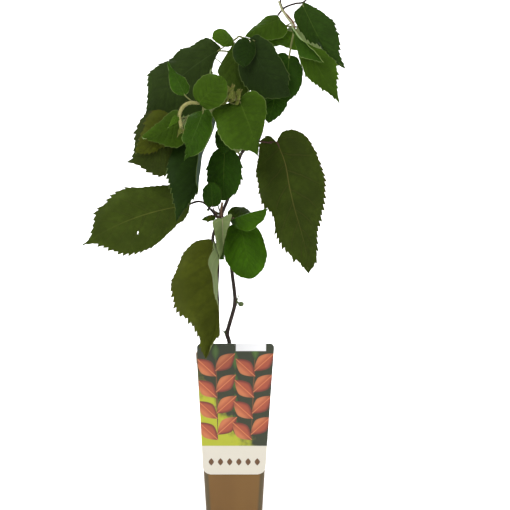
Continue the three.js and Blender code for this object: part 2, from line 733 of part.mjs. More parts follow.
const BACK_MIDDLE_LEAVES = backLeaves(backMiddleStem, BACK_SPACES.middle, {
  seed: 11, tries: 400, most: 5, longest: 78,
});
const BACK_UPPER_LEAVES = backLeaves(backUpperStem, BACK_SPACES.upper, {
  seed: 23, tries: 400, most: 4, longest: 72,
});
const BACK_LOW_LEAVES = backLeaves(backLowStem, BACK_SPACES.low, {
  seed: 7, tries: 400, most: 3, longest: 76,
});
const BACK_RIGHT_LEAVES = backLeaves(backRightStem, BACK_SPACES.right, {
  seed: 31, tries: 400, most: 3, longest: 76,
});

function makeMass(stem, leaves, radii = [SHOOT_RADIUS, 1]) {
  const twig = bentRod(curveThrough(stem), radii, 6, Math.max(4, 2 * stem.length));
  const pieces = leaves.flatMap((one) => [one.blade(), one.petiole()]);
  return mainBody(fused([twig, ...pieces]));
}

// Materials and the finished group

const looks = {
  pot: { color: 0x86653d, roughness: 0.6 },
  soil: { color: 0x2c2119, roughness: 1 },
  card: { color: 0xb6452c, roughness: 0.35 },
  bark: { color: 0x2d2323, roughness: 0.75 },
  youngStem: { color: 0x8a8a5a, roughness: 0.7 },
  leaf: { color: 0x3b5a1e, roughness: 0.55 },
};

const vine = new THREE.Group();

function addPart(name, geometry, { color, roughness }) {
  const material = new THREE.MeshStandardMaterial({ color, roughness, metalness: 0 });
  geometry.computeVertexNormals();
  const mesh = new THREE.Mesh(geometry, material);
  mesh.name = name;
  vine.add(mesh);
}

addPart('pot', geometryOf(makePot()), looks.pot);
addPart('soil', geometryOf(makeSoil()), looks.soil);
addPart('picture_card', geometryOf(makeCard()), looks.card);
addPart('main_stem', makeMainStem(), looks.bark);
addPart('top_arc', geometryOf(topArc.rod(LIMB_SIDES, 30)), looks.bark);
addPart('left_shoot', geometryOf(leftShoot.rod(LIMB_SIDES, 12)), looks.youngStem);
addPart('lower_left_shoot', geometryOf(lowerLeftShoot.rod(LIMB_SIDES, 10)), looks.youngStem);
addPart('upper_left_shoot', geometryOf(upperLeftShoot.rod(LIMB_SIDES, 6)), looks.youngStem);
addPart('back_shoot', geometryOf(backShoot.rod(LIMB_SIDES, 6)), looks.youngStem);
addPart('foliage_low', makeMass(lowStem, LOW_LEAVES, [1.6, 1.3]), looks.leaf);
addPart('foliage_middle', makeMass(middleStem, MIDDLE_LEAVES), looks.leaf);
addPart('foliage_right', makeMass(rightStem, RIGHT_LEAVES), looks.leaf);
addPart('foliage_shoot_tip', makeMass(tipStem, TIP_LEAVES, [1.1, 1.7, 2.2, 1.6]), looks.leaf);
addPart('foliage_left', makeMass(leftStem, LEFT_LEAVES), looks.leaf);
addPart('foliage_upper_left', makeMass(upperLeftStem, UPPER_LEFT_LEAVES), looks.leaf);
addPart('foliage_centre', makeMass(centreStem, CENTRE_LEAVES), looks.leaf);
addPart('foliage_low_centre', makeMass(lowCentreStem, LOW_CENTRE_LEAVES), looks.leaf);
addPart('foliage_upper', makeMass(upperStem, UPPER_LEAVES), looks.leaf);
addPart('foliage_top', makeMass(topStem, TOP_LEAVES), looks.leaf);
addPart('foliage_right_top', makeMass(rightTopStem, RIGHT_TOP_LEAVES, [1, 0.9]), looks.leaf);
addPart('foliage_leader', makeMass(leaderStem, LEADER_LEAVES), looks.leaf);
addPart('foliage_back_middle', makeMass(backMiddleStem, BACK_MIDDLE_LEAVES), looks.leaf);
addPart('foliage_back_upper', makeMass(backUpperStem, BACK_UPPER_LEAVES), looks.leaf);
addPart('foliage_back_low', makeMass(backLowStem, BACK_LOW_LEAVES), looks.leaf);
addPart('foliage_back_right', makeMass(backRightStem, BACK_RIGHT_LEAVES), looks.leaf);

export default vine;
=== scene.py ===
"""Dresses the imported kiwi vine: its stems, toothed leaves, downy shoot tip, pot, compost and card.

Layout is in millimetres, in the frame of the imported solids, and every mesh is made in metres.
The plant's places were measured as they are seen from the front, in the plane of the stem.
"""

import logging
import math
from dataclasses import dataclass, field, replace
from enum import Enum
from typing import Callable, Iterator, Sequence

import bmesh
import bpy
import numpy as np
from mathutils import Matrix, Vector

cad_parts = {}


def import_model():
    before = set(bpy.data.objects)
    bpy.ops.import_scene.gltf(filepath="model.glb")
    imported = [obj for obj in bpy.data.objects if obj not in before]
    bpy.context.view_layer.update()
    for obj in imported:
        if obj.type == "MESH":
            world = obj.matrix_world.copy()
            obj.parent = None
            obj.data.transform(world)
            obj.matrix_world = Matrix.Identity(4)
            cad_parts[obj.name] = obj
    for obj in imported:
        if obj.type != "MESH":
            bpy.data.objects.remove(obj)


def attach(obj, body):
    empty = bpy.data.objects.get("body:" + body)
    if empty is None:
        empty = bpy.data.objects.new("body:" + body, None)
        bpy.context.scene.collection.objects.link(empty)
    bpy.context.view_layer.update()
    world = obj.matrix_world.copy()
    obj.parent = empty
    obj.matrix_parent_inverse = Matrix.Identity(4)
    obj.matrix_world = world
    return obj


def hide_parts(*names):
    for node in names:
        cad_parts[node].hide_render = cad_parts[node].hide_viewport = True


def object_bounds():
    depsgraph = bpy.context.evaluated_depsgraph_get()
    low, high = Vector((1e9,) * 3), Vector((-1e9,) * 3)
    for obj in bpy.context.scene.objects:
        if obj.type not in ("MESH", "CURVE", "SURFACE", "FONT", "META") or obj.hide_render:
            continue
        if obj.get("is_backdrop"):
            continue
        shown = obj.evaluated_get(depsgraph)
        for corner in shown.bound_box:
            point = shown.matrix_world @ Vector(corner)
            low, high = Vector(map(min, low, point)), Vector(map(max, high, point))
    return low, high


log = logging.getLogger("kiwi_vine")

MM = 0.001
GAP = 0.3
SEAT_TILT, SIDE_RUN, TIP_RUN = 0.15, 2.0, 3.0

EYE_X, EYE_Z, EYE_DISTANCE = 23.6, 320.4, 2200.0
SIGHT_X, SIGHT_Z = 24, 320
FRAME_WIDTH, SENSOR = 586.5, 36.0

POT_HEIGHT, POT_RIM, POT_BASE = 210.0, 86.0, 60.5
POT_WALL, POT_FLOOR, POT_CORNER = 1.3, 1.8, 9.0
RIM_BAND, RIM_STEP, RIM_PROUD = 13.0, 1.2, 0.7
DRAIN_RADIUS, DRAIN_SPACING = 4.0, 19.0
SOIL_LEVEL = 195.0

CARD_TOP, CARD_BOTTOM, CARD_SHIFT = 220.7, 72.5, 1.7
CARD_TOP_WIDTH, CARD_BOTTOM_WIDTH = 87.6, 70.0
CARD_THICKNESS, CARD_TOP_RADIUS, CARD_BOTTOM_RADIUS = 0.6, 5.0, 8.0
TONGUE_WIDTH, TONGUE_FOOT = 46.0, 200.0

STEM_TIP, SHOOT, PETIOLE = 1.2, 1.2, 0.9
FLARE_HEIGHT = 12.0

VEIN_SLANT, VEIN_CURVE, VEIN_PAIRS = 1.8, 1.25, 7
BASE_WIDTH, TIP_WIDTH, BLADE_THICKNESS = 1.6, 0.8, 0.45
TOOTH_SPACING, TOOTH_DEPTH, ROWS_PER_TOOTH = 6.2, 3.3, 5
TRACE_STEPS, STEEP_FOLD = 81, 60

TOWARDS_VIEWER = (0.0, -1.0, 0.12)
AWAY = (0.0, 1.0, 0.5)
ODD_WAY = (0.31, 0.83, 0.46)

Place = tuple[float, float, float]
Colour = tuple[float, float, float, float]
Path = tuple[tuple[float, float], ...]
Array = np.ndarray
Piece = bpy.types.Object
Material = bpy.types.Material
Socket = bpy.types.NodeSocket
Random = np.random.Generator


def linear(*screen: int) -> Colour:
    """Turns a screen colour of 0 to 255 into the linear colour that a shader takes."""
    parts = [value / 255 for value in screen]
    return (*(p / 12.92 if p <= 0.04045 else ((p + 0.055) / 1.055) ** 2.4 for p in parts), 1.0)


def tinted(colour: Colour, share: float) -> Colour:
    """Makes a colour lighter or darker by a share of itself."""
    return (colour[0] * share, colour[1] * share, colour[2] * share, 1.0)


def smoothstep(value: Array | float, low: float, high: float) -> Array:
    """Eases from 0 where the value is low to 1 where it is high."""
    share = np.clip((np.asarray(value, float) - low) / (high - low), 0, 1)
    return share * share * (3 - 2 * share)


def unit(vector: Sequence[float]) -> Array:
    """Scales a vector to length 1."""
    made = np.asarray(vector, float)
    return made / np.linalg.norm(made)


def seen(place: Place) -> Array:
    """Finds where a place is that is seen at x, z in the stem's plane and has the depth y."""
    (x, z, y), reach = place, (EYE_DISTANCE + place[2]) / EYE_DISTANCE
    return np.array([SIGHT_X + (x - SIGHT_X) * reach, y, SIGHT_Z + (z - SIGHT_Z) * reach])


def seen_all(places: Sequence[Place]) -> list[Array]:
    """Applies seen to each place."""
    return [seen(place) for place in places]


def as_seen(places: Array) -> Array:
    """Gives x and z as seen from the front for rows of x, y and z, the other way from seen."""
    reach = (EYE_DISTANCE / (EYE_DISTANCE + places[:, 1]))[:, None]
    return (SIGHT_X, SIGHT_Z) + (places[:, [0, 2]] - (SIGHT_X, SIGHT_Z)) * reach


def pot_width(z: Array | float) -> Array | float:
    """Gives the pot's outside width at a height."""
    return POT_BASE + (POT_RIM - POT_BASE) * z / POT_HEIGHT


def seeded_random(seed: int) -> Iterator[float]:
    """Makes the same run of numbers as the source's seeded rule.

    Args:
        seed: a whole number that picks the run.

    Returns:
        Numbers from 0 to 1, without end.
    """
    step, mask = 0x6D2B79F5, 0xFFFFFFFF
    while True:
        t = seed = (seed + step) & mask
        t = ((t ^ (t >> 15)) * (t | 1)) & mask
        t ^= (t + (((t ^ (t >> 7)) * (t | 61)) & mask)) & mask
        yield ((t ^ (t >> 14)) & mask) / (mask + 1)


# Mesh making


def choose(*pieces: Piece) -> None:
    """Selects objects alone and makes the first the active one.

    Args:
        pieces: the objects.
    """
    bpy.ops.object.select_all(action="DESELECT")
    for piece in pieces:
        piece.select_set(True)
    bpy.context.view_layer.objects.active = pieces[0]


def added(primitive: Callable[..., object], name: str, **settings: object) -> Piece:
    """Adds a primitive with nothing else selected.

    Args:
        primitive: the operator that adds it.
        name: the object's name.
        settings: its size and place.

    Returns:
        The object.
    """
    bpy.ops.object.select_all(action="DESELECT")
    primitive(**settings)
    bpy.context.object.name = name
    return bpy.context.object


def edited(piece: Piece, work: Callable[[], object], choice: str = "SELECT") -> None:
    """Runs operators in edit mode.

    Args:
        piece: the object to edit.
        work: calls the operators.
        choice: SELECT to start with all selected, DESELECT with nothing.
    """
    choose(piece)
    bpy.ops.object.mode_set(mode="EDIT")
    bpy.ops.mesh.select_all(action=choice)
    work()
    bpy.ops.object.mode_set(mode="OBJECT")


def picked(piece: Piece, wanted: Callable[[Array], bool], work: Callable[[], object]) -> None:
    """Runs an operator on the edges that a rule picks.

    Args:
        piece: the object to edit.
        wanted: judges an edge by its two ends, in metres.
        work: calls the operator.
    """
    edited(piece, lambda: bpy.ops.mesh.select_mode(type="EDGE"), "DESELECT")
    places = vertex_places(piece)
    for edge in piece.data.edges:
        edge.select = bool(wanted(places[list(edge.vertices)]))
    bpy.ops.object.mode_set(mode="EDIT")
    work()
    bpy.ops.mesh.select_mode(type="VERT")
    bpy.ops.object.mode_set(mode="OBJECT")


def modified(piece: Piece, kind: str, **settings: object) -> Piece:
    """Adds a modifier, sets it and applies it.

    Args:
        piece: the object.
        kind: the modifier's type.
        settings: its properties.

    Returns:
        The object.
    """
    choose(piece)
    modifier = piece.modifiers.new(kind.title(), kind)
    for key, value in settings.items():
        setattr(modifier, key, value)
    bpy.ops.object.modifier_apply(modifier=modifier.name)
    return piece


def joined(name: str, parts: Sequence[Piece]) -> Piece:
    """Joins objects into one piece.

    Args:
        name: the piece's name.
        parts: the objects.

    Returns:
        The piece.
    """
    choose(*parts)
    bpy.ops.object.join()
    parts[0].name = parts[0].data.name = name
    return parts[0]


def vertex_places(piece: Piece) -> Array:
    """Reads a mesh's vertices as rows of x, y and z."""
    piece.data.vertices.foreach_get("co", flat := np.zeros(len(piece.data.vertices) * 3))
    return flat.reshape(-1, 3)


def move_vertices(piece: Piece, places: Array) -> None:
    """Puts a mesh's vertices at new places."""
    piece.data.vertices.foreach_set("co", np.asarray(places, float).ravel())
    piece.data.update()


def grid(name: str, columns: int, rows: int) -> tuple[Piece, Array, Array]:
    """Adds a flat grid to be mapped onto a surface.

    Args:
        name: the object's name.
        columns, rows: how many faces it has each way.

    Returns:
        The object, and each vertex's place across from -1 to 1 and along from 0 to 1.
    """
    add = bpy.ops.mesh.primitive_grid_add
    sheet = added(add, name, x_subdivisions=columns, y_subdivisions=rows, size=2)
    places = vertex_places(sheet)
    return sheet, places[:, 0], (places[:, 1] + 1) / 2


def set_uv(piece: Piece, uv: Array) -> None:
    """Gives each vertex its own place in the pattern.

    Args:
        piece: the mesh object.
        uv: a row of two numbers for each vertex.
    """
    mesh = piece.data
    layer = mesh.uv_layers.get("UVMap") or mesh.uv_layers.new(name="UVMap")
    corners = np.zeros(len(mesh.loops), int)
    mesh.loops.foreach_get("vertex_index", corners)
    layer.data.foreach_set("uv", uv[corners].astype(np.float32).ravel())


def set_share(piece: Piece, name: str, values: Array) -> None:
    """Stores a number for each vertex that a finish can read."""
    attribute = piece.data.attributes.new(name, "FLOAT", "POINT")
    attribute.data.foreach_set("value", np.asarray(values, np.float32))


def linked(name: str, data: bpy.types.ID) -> Piece:
    """Puts an object that shows a mesh, light or camera in the scene.

    Args:
        name: the object's name.
        data: the mesh, light or camera.

    Returns:
        The object.
    """
    made = bpy.data.objects.new(name, data)
    bpy.context.scene.collection.objects.link(made)
    return made


def scattered(name: str, pattern: Piece, frames: Sequence[Array]) -> Piece:
    """Copies one small mesh many times into a single piece.

    Args:
        name: the new piece's name.
        pattern: the small mesh, which is deleted.
        frames: a 4 by 4 matrix in metres for each copy.

    Returns:
        The piece.
    """
    places = np.c_[vertex_places(pattern), np.ones(len(pattern.data.vertices))]
    faces = [list(polygon.vertices) for polygon in pattern.data.polygons]
    bpy.data.objects.remove(pattern)
    vertices = np.concatenate([places @ frame.T for frame in frames])[:, :3]
    starts = range(0, len(vertices), len(places))
    copies = [[start + i for i in face] for start in starts for face in faces]
    mesh = bpy.data.meshes.new(name)
    mesh.from_pydata(vertices.tolist(), [], copies)
    return linked(name, mesh)


def frame_along(start: Array, ahead: Array, scale: Sequence[float]) -> Array:
    """Makes the matrix that stands a shape on a point with its own Z along a direction.

    Args:
        start: the point, in metres.
        ahead: the direction of the shape's Z.
        scale: its size along its own X, Y and Z.

    Returns:
        A 4 by 4 matrix.
    """
    z = unit(ahead)
    x = unit(np.cross(z, ODD_WAY))
    made = np.eye(4)
    made[:3, :3] = np.stack([x, np.cross(z, x), z], axis=1) * np.asarray(scale, float)
    made[:3, 3] = start
    return made


def smoothed(piece: Piece, angle: float) -> None:
    """Shades a piece smooth, apart from edges sharper than the angle in degrees."""
    choose(piece)
    bpy.ops.object.shade_smooth_by_angle(angle=math.radians(angle))


def dressed(
    piece: Piece, slot: str, nodes: Sequence[str], *materials: Material, angle: float = 60.0
) -> None:
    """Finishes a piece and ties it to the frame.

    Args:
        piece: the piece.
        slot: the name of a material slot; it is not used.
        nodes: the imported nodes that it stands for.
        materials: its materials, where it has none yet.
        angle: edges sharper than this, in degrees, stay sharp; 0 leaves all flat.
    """
    if angle:
        smoothed(piece, angle)
    for material in materials:
        piece.data.materials.append(material)
    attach(piece, "root")
    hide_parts(*nodes)
    piece.data.calc_loop_triangles()
    log.info("%s: %d triangles", piece.name, len(piece.data.loop_triangles))


# Finishes


class Shader:
    """One Principled material and helpers that add the nodes that feed it."""

    def __init__(self, name: str, roughness: float, specular: float) -> None:
        """Starts a material.

        Args:
            name: its name.
            roughness, specular: its levels, the same all over.
        """
        self.material = bpy.data.materials.new(name)
        self.material.use_nodes = True
        self.tree = self.material.node_tree
        self.body = self.tree.nodes["Principled BSDF"]
        self.body.inputs["Roughness"].default_value = roughness
        self.body.inputs["Specular IOR Level"].default_value = specular

    def feed(self, socket: Socket, value: object) -> None:
        """Feeds an input of a node.

        Args:
            socket: the input.
            value: the output to link it to, or a plain value.
        """
        if isinstance(value, Socket):
            self.tree.links.new(value, socket)
        else:
            socket.default_value = value

    def node(
        self, kind: str, output: int | str, inputs: dict[int | str, object], **settings: str
    ) -> Socket:
        """Adds a node.

        Args:
            kind: its type.
            output: the output that is wanted.
            inputs: what each of its inputs takes.
            settings: its own properties.

        Returns:
            The output.
        """
        node = self.tree.nodes.new(kind)
        for key, value in settings.items():
            setattr(node, key, value)
        for name, value in inputs.items():
            self.feed(node.inputs[name], value)
        return node.outputs[output]

    def coordinates(self, kind: str = "Object") -> Socket:
        """Gives the Object or UV coordinates."""
        return self.node("ShaderNodeTexCoord", kind, {})

    def share(self, name: str) -> Socket:
        """Reads a number that is stored on the mesh's vertices."""
        return self.node("ShaderNodeAttribute", "Fac", {}, attribute_name=name)

    def mapping(self, vector: Socket, kind: str = "POINT", **parts: Sequence[float]) -> Socket:
        """Moves, turns or scales coordinates."""
        inputs = {"Vector": vector, **parts}
        return self.node("ShaderNodeMapping", "Vector", inputs, vector_type=kind)

    def parts(self, vector: Socket) -> tuple[Socket, ...]:
        """Gives coordinates as x, y and z."""
        x = self.node("ShaderNodeSeparateXYZ", "X", {"Vector": vector})
        return tuple(x.node.outputs)

    def noise(self, vector: Socket, scale: float, detail: float = 3.0) -> Socket:
        """Gives smooth noise from 0 to 1."""
        inputs = {"Vector": vector, "Scale": scale, "Detail": detail}
        return self.node("ShaderNodeTexNoise", "Fac", inputs)

    def cells(self, vector: Socket, scale: float, feature: str) -> Socket:
        """Gives the distance inside the cells of a Voronoi pattern."""
        inputs = {"Vector": vector, "Scale": scale}
        return self.node("ShaderNodeTexVoronoi", "Distance", inputs, feature=feature)

    def spread(
        self, value: Socket, low: float, high: float, start: float = 0.0, end: float = 1.0
    ) -> Socket:
        """Maps low to start and high to end, eased and held at the ends."""
        inputs = {"Value": value, "From Min": low, "From Max": high, "To Min": start, "To Max": end}
        return self.node("ShaderNodeMapRange", "Result", inputs, interpolation_type="SMOOTHSTEP")

    def sum(self, operation: str, first: object, second: object = 0.0) -> Socket:
        """Works out one number from two."""
        return self.node("ShaderNodeMath", 0, {0: first, 1: second}, operation=operation)

    def mix(self, factor: Socket, first: object, second: object) -> Socket:
        """Mixes two colours."""
        inputs = {"Factor": factor, 6: first, 7: second}
        return self.node("ShaderNodeMix", 2, inputs, data_type="RGBA")

    def bump(self, height: Socket, strength: float, distance: float) -> None:
        """Roughens the surface by a height."""
        inputs = {"Strength": strength, "Distance": distance, "Height": height}
        self.feed(self.body.inputs["Normal"], self.node("ShaderNodeBump", "Normal", inputs))

    def colour(self, value: Socket) -> None:
        """Gives the surface its colour."""
        self.feed(self.body.inputs["Base Color"], value)


@dataclass(frozen=True)
class LeafFinish:
    """The living surface of a leaf: mottled green, painted shade along the vein grooves, paler veins
    and a thin rim.
    """

    name: str
    face: Colour
    vein: Colour
    rim: Colour
    vein_strength: float = 0.55
    rim_strength: float = 0.4
    roughness: float = 0.5

    def material(self) -> Material:
        """Builds the material.

        Returns:
            The material.
        """
        shader = Shader(self.name, self.roughness, 0.05)
        place, reach, rib = shader.coordinates(), shader.share("reach"), shader.share("rib")
        wander = shader.sum("MULTIPLY", shader.noise(place, 55.0), 0.3)
        apart = shader.sum("PINGPONG", shader.sum("ADD", rib, wander), 0.5)
        inner = shader.spread(reach, 0.45, 0.97, 1, 0)
        patches = shader.spread(shader.noise(place, 38.0), 0.3, 0.7)
        base = shader.mix(patches, tinted(self.face, 0.8), tinted(self.face, 1.18))
        flecks = shader.spread(shader.noise(place, 190.0, 4.0), 0.36, 0.64, 0, 0.5)
        base = shader.mix(flecks, base, tinted(self.face, 0.74))
        # Painted shade in the grooves beside the side veins.
        painted_groove_shade = shader.sum("MULTIPLY", shader.spread(apart, 0.0, 0.16, 0.6, 0), inner)
        base = shader.mix(painted_groove_shade, base, tinted(self.face, 0.66))
        net = shader.cells(shader.coordinates("UV"), 62.0, "DISTANCE_TO_EDGE")
        base = shader.mix(shader.spread(net, 0.0, 0.08, 0.12, 0.0), base, self.vein)
        side = shader.sum("MULTIPLY", shader.spread(apart, 0.0, 0.035, 0.26, 0), inner)
        fading = shader.spread(rib, 0.5, VEIN_PAIRS, 1, 0.3)
        middle = shader.sum("MULTIPLY", shader.spread(reach, 0.004, 0.022, 1, 0), fading)
        veins = shader.sum("MULTIPLY", shader.sum("MAXIMUM", side, middle), self.vein_strength)
        base = shader.mix(veins, base, self.vein)
        rims = shader.spread(reach, 0.965, 1.0, 0, self.rim_strength)
        shader.colour(shader.mix(rims, base, self.rim))
        grain = shader.sum("MULTIPLY", shader.noise(place, 700.0, 2.0), 0.12)
        cushions = shader.spread(net, 0.0, 0.25, 0, 0.25)
        quilt = shader.sum("ADD", shader.spread(apart, 0.0, 0.32), cushions)
        height = shader.sum("ADD", shader.sum("MULTIPLY", quilt, inner), grain)
        shader.bump(height, 0.55, 0.0011)
        return shader.material


@dataclass(frozen=True)
class FeltFinish:
    """The downy pale underside of the leaves."""

    name: str = "leaf_underside"
    felt: Colour = linear(118, 134, 84)
    vein: Colour = linear(146, 154, 98)

    def material(self) -> Material:
        """Builds the material.

        Returns:
            The material.
        """
        shader = Shader(self.name, 0.85, 0.2)
        place = shader.coordinates()
        dark, light = tinted(self.felt, 0.82), tinted(self.felt, 1.14)
        base = shader.mix(shader.noise(place, 45.0), dark, light)
        apart = shader.sum("PINGPONG", shader.share("rib"), 0.5)
        side = shader.spread(apart, 0.0, 0.06, 0.6, 0)
        middle = shader.spread(shader.share("reach"), 0.01, 0.05, 0.9, 0)
        shader.colour(shader.mix(shader.sum("MAXIMUM", side, middle), base, self.vein))
        shader.bump(shader.noise(place, 1400.0, 2.0), 0.5, 0.0003)
        return shader.material


@dataclass(frozen=True)
class BarkFinish:
    """A stem's skin, streaked lengthwise and dotted with small pale pores."""

    name: str
    dark: Colour
    light: Colour
    pores: Colour
    roughness: float = 0.7

    def material(self) -> Material:
        """Builds the material.

        Returns:
            The material.
        """
        shader = Shader(self.name, self.roughness, 0.35)
        place = shader.coordinates()
        streaks = shader.noise(shader.mapping(place, Scale=(1.0, 1.0, 0.12)), 900.0)
        patches = shader.noise(place, 60.0)
        blend = shader.spread(shader.sum("ADD", streaks, patches), 0.7, 1.35)
        base = shader.mix(blend, self.dark, self.light)
        dots = shader.spread(shader.cells(place, 420.0, "F1"), 0.16, 0.26, 0.7, 0.0)
        shader.colour(shader.mix(dots, base, self.pores))
        shader.bump(shader.sum("SUBTRACT", streaks, dots), 0.5, 0.0004)
        return shader.material


@dataclass(frozen=True)
class PlasticFinish:
    """The pot's thin moulded plastic, a little cloudy and scuffed, with painted shade at its
    corners.
    """

    name: str = "pot_plastic"
    tone: Colour = linear(122, 90, 48)
    shade: Colour = linear(114, 83, 45)
    # Painted shade for the bands where the rounded corners turn away from the light.
    corner: Colour = linear(86, 76, 52)

    def material(self) -> Material:
        """Builds the material.

        Returns:
            The material.
        """
        shader = Shader(self.name, 0.5, 0.28)
        place = shader.coordinates()
        cloud = shader.noise(shader.mapping(place, Scale=(1.0, 1.0, 0.25)), 22.0)
        base = shader.mix(shader.spread(cloud, 0.3, 0.75), self.shade, self.tone)
        scratches = shader.noise(shader.mapping(place, Scale=(1, 1, 7)), 60.0)
        scuffs = shader.spread(scratches, 0.66, 0.8, 0, 0.12)
        base = shader.mix(scuffs, base, tinted(self.tone, 1.4))
        x, y, z = shader.parts(place)
        nearer = shader.sum("MINIMUM", shader.sum("ABSOLUTE", x), shader.sum("ABSOLUTE", y))
        taper = (POT_RIM - POT_BASE) / POT_HEIGHT / 2
        half = shader.sum("ADD", shader.sum("MULTIPLY", z, taper), POT_BASE / 2 * MM)
        # Painted shade: darker in bands along the rounded upright corners.
        painted_corner_shade = shader.spread(shader.sum("SUBTRACT", half, nearer), 0.0042, 0.0066, 0.85, 0)
        shader.colour(shader.mix(painted_corner_shade, base, self.corner))
        shader.bump(shader.noise(place, 1500.0, 2.0), 0.2, 0.0002)
        return shader.material


@dataclass(frozen=True)
class EarthFinish:
    """Dark moist compost."""

    name: str
    dark: Colour
    light: Colour

    def material(self) -> Material:
        """Builds the material.

        Returns:
            The material.
        """
        shader = Shader(self.name, 0.95, 0.2)
        crumbs = shader.noise(shader.coordinates(), 260.0, 6.0)
        shader.colour(shader.mix(shader.spread(crumbs, 0.3, 0.72), self.dark, self.light))
        shader.bump(crumbs, 0.8, 0.0015)
        return shader.material


class Motif(Enum):
    """What a printed shape is."""

    RUSSET = "russet leaf"
    GREEN = "green leaf"
    TWIG = "twig"


@dataclass(frozen=True)
class Spot:
    """A printed pointed leaf: its middle, half sizes and turn, in millimetres and degrees."""

    x: float
    y: float
    wide: float
    high: float
    turn: float = 0.0
    motif: Motif = Motif.RUSSET


@dataclass(frozen=True)
class PrintFinish:
    """The card's printed face: two sprays of russet leaves over a band with a row of diamonds."""

    name: str = "card_print"
    dark: Colour = linear(44, 50, 30)
    bright: Colour = linear(168, 172, 40)
    russet: Colour = linear(158, 74, 50)
    russet_edge: Colour = linear(104, 48, 38)
    russet_light: Colour = linear(204, 124, 76)
    leaf: Colour = linear(72, 100, 40)
    twig: Colour = linear(98, 66, 38)
    cream: Colour = linear(208, 202, 188)
    blank: Colour = linear(232, 232, 234)
    band: float = 32.0
    tab: tuple[float, float, float] = (44.0, 78.0, 139.5)

    def sprays(self) -> list[Spot]:
        """Lays out two upright sprays of paired leaves, with small green leaves between them.

        Returns:
            The leaves and twigs, the lowest print first.
        """
        centre = CARD_TOP_WIDTH / 2
        spots = [Spot(centre, up, 4, 11, 0, Motif.GREEN) for up in (57, 81, 105, 129)]
        for side in (-1, 1):
            spots.append(Spot(centre + 20.5 * side, 92, 0.9, 54, -2 * side, Motif.TWIG))
            spots.append(Spot(centre + 22.5 * side, 139, 4.5, 10, 0, Motif.GREEN))
            for step in range(4):
                x, up = centre + (19 + step) * side, 52 + 24 * step
                spots += [Spot(x + 10.5 * w, up + 3 * w, 8.5, 15, -48 * w) for w in (-1, 1)]
        return spots

    def material(self) -> Material:
        """Builds the material.

        Returns:
            The material.
        """
        shader = Shader(self.name, 0.28, 0.5)
        size = (CARD_TOP_WIDTH, CARD_TOP - CARD_BOTTOM, 1)
        place = shader.mapping(shader.coordinates("UV"), Scale=size)
        across, up, _ = shader.parts(place)
        right, rise = shader.sum("MULTIPLY", across, 0.011), shader.sum("MULTIPLY", up, 0.0085)
        cloud = shader.sum("MULTIPLY", shader.noise(place, 0.09), 0.5)
        shade = shader.sum("ADD", shader.sum("ADD", right, rise), cloud)
        base = shader.mix(shader.spread(shade, 1.05, 1.3, 1, 0), self.dark, self.bright)
        for spot in self.sprays():
            base = self.printed(shader, place, base, spot)
        base = shader.mix(shader.spread(up, self.band, self.band + 0.5, 1, 0), base, self.cream)
        for step in range(6):
            diamond = Spot(17.8 + 10.4 * step, 14, 3, 4.2, 0, Motif.TWIG)
            base = self.printed(shader, place, base, diamond)
        left, right, low = self.tab
        inside = shader.sum(
            "MULTIPLY", shader.spread(across, left, left + 0.3),
            shader.spread(across, right, right + 0.3, 1, 0),
        )
        inside = shader.sum("MULTIPLY", inside, shader.spread(up, low, low + 0.3))
        shader.colour(shader.mix(inside, base, self.blank))
        shader.bump(shader.noise(shader.coordinates(), 800.0, 1.0), 0.05, 0.0001)
        return shader.material

    def printed(self, shader: Shader, place: Socket, base: Socket, spot: Spot) -> Socket:
        """Prints one pointed leaf over what is there.

        Args:
            shader: the material's nodes.
            place: millimetres on the card.
            base: the colour so far.
            spot: the leaf to print.

        Returns:
            The colour with the leaf.
        """
        turn, size = (0, 0, math.radians(spot.turn)), (spot.wide, spot.high, 1)
        middle = (spot.x, spot.y, 0)
        here = shader.mapping(place, "TEXTURE", Location=middle, Rotation=turn, Scale=size)
        x, y, _ = shader.parts(here)
        aside, up = shader.sum("ABSOLUTE", x), shader.sum("ABSOLUTE", y)
        reach = shader.sum("ADD", aside, shader.sum("POWER", up, 1.6))
        if spot.motif is Motif.TWIG:
            inner = self.twig
        elif spot.motif is Motif.GREEN:
            inner = shader.mix(shader.spread(reach, 0.1, 1), self.leaf, tinted(self.leaf, 0.5))
        else:
            inner = shader.mix(shader.spread(reach, 0.5, 1), self.russet, self.russet_edge)
            for light in ((x, -0.7, 0.05, 0.7, 0), (aside, 0.03, 0.09, 0.8, 0)):
                inner = shader.mix(shader.spread(*light), inner, self.russet_light)
        return shader.mix(shader.spread(reach, 0.96, 1.04, 1, 0), base, inner)


@dataclass(frozen=True)
class PlainFinish:
    """A plain material with faint clouding, for the card's back and the studio."""

    name: str
    tone: Colour
    roughness: float

    def material(self) -> Material:
        """Builds the material.

        Returns:
            The material.
        """
        shader = Shader(self.name, self.roughness, 0.3)
        cloud = shader.noise(shader.coordinates(), 3.0)
        shader.colour(shader.mix(cloud, tinted(self.tone, 0.97), self.tone))
        return shader.material


PALE_RIM, BROWN_RIM, ROSY_RIM = linear(150, 170, 100), linear(84, 62, 38), linear(150, 110, 80)
GREEN_VEIN, OLIVE_VEIN, ROSY_VEIN = linear(106, 128, 54), linear(126, 128, 62), linear(150, 130, 84)
LIME_VEIN, PALE_VEIN, RUSSET_VEIN = linear(126, 156, 78), linear(130, 158, 80), linear(122, 112, 62)


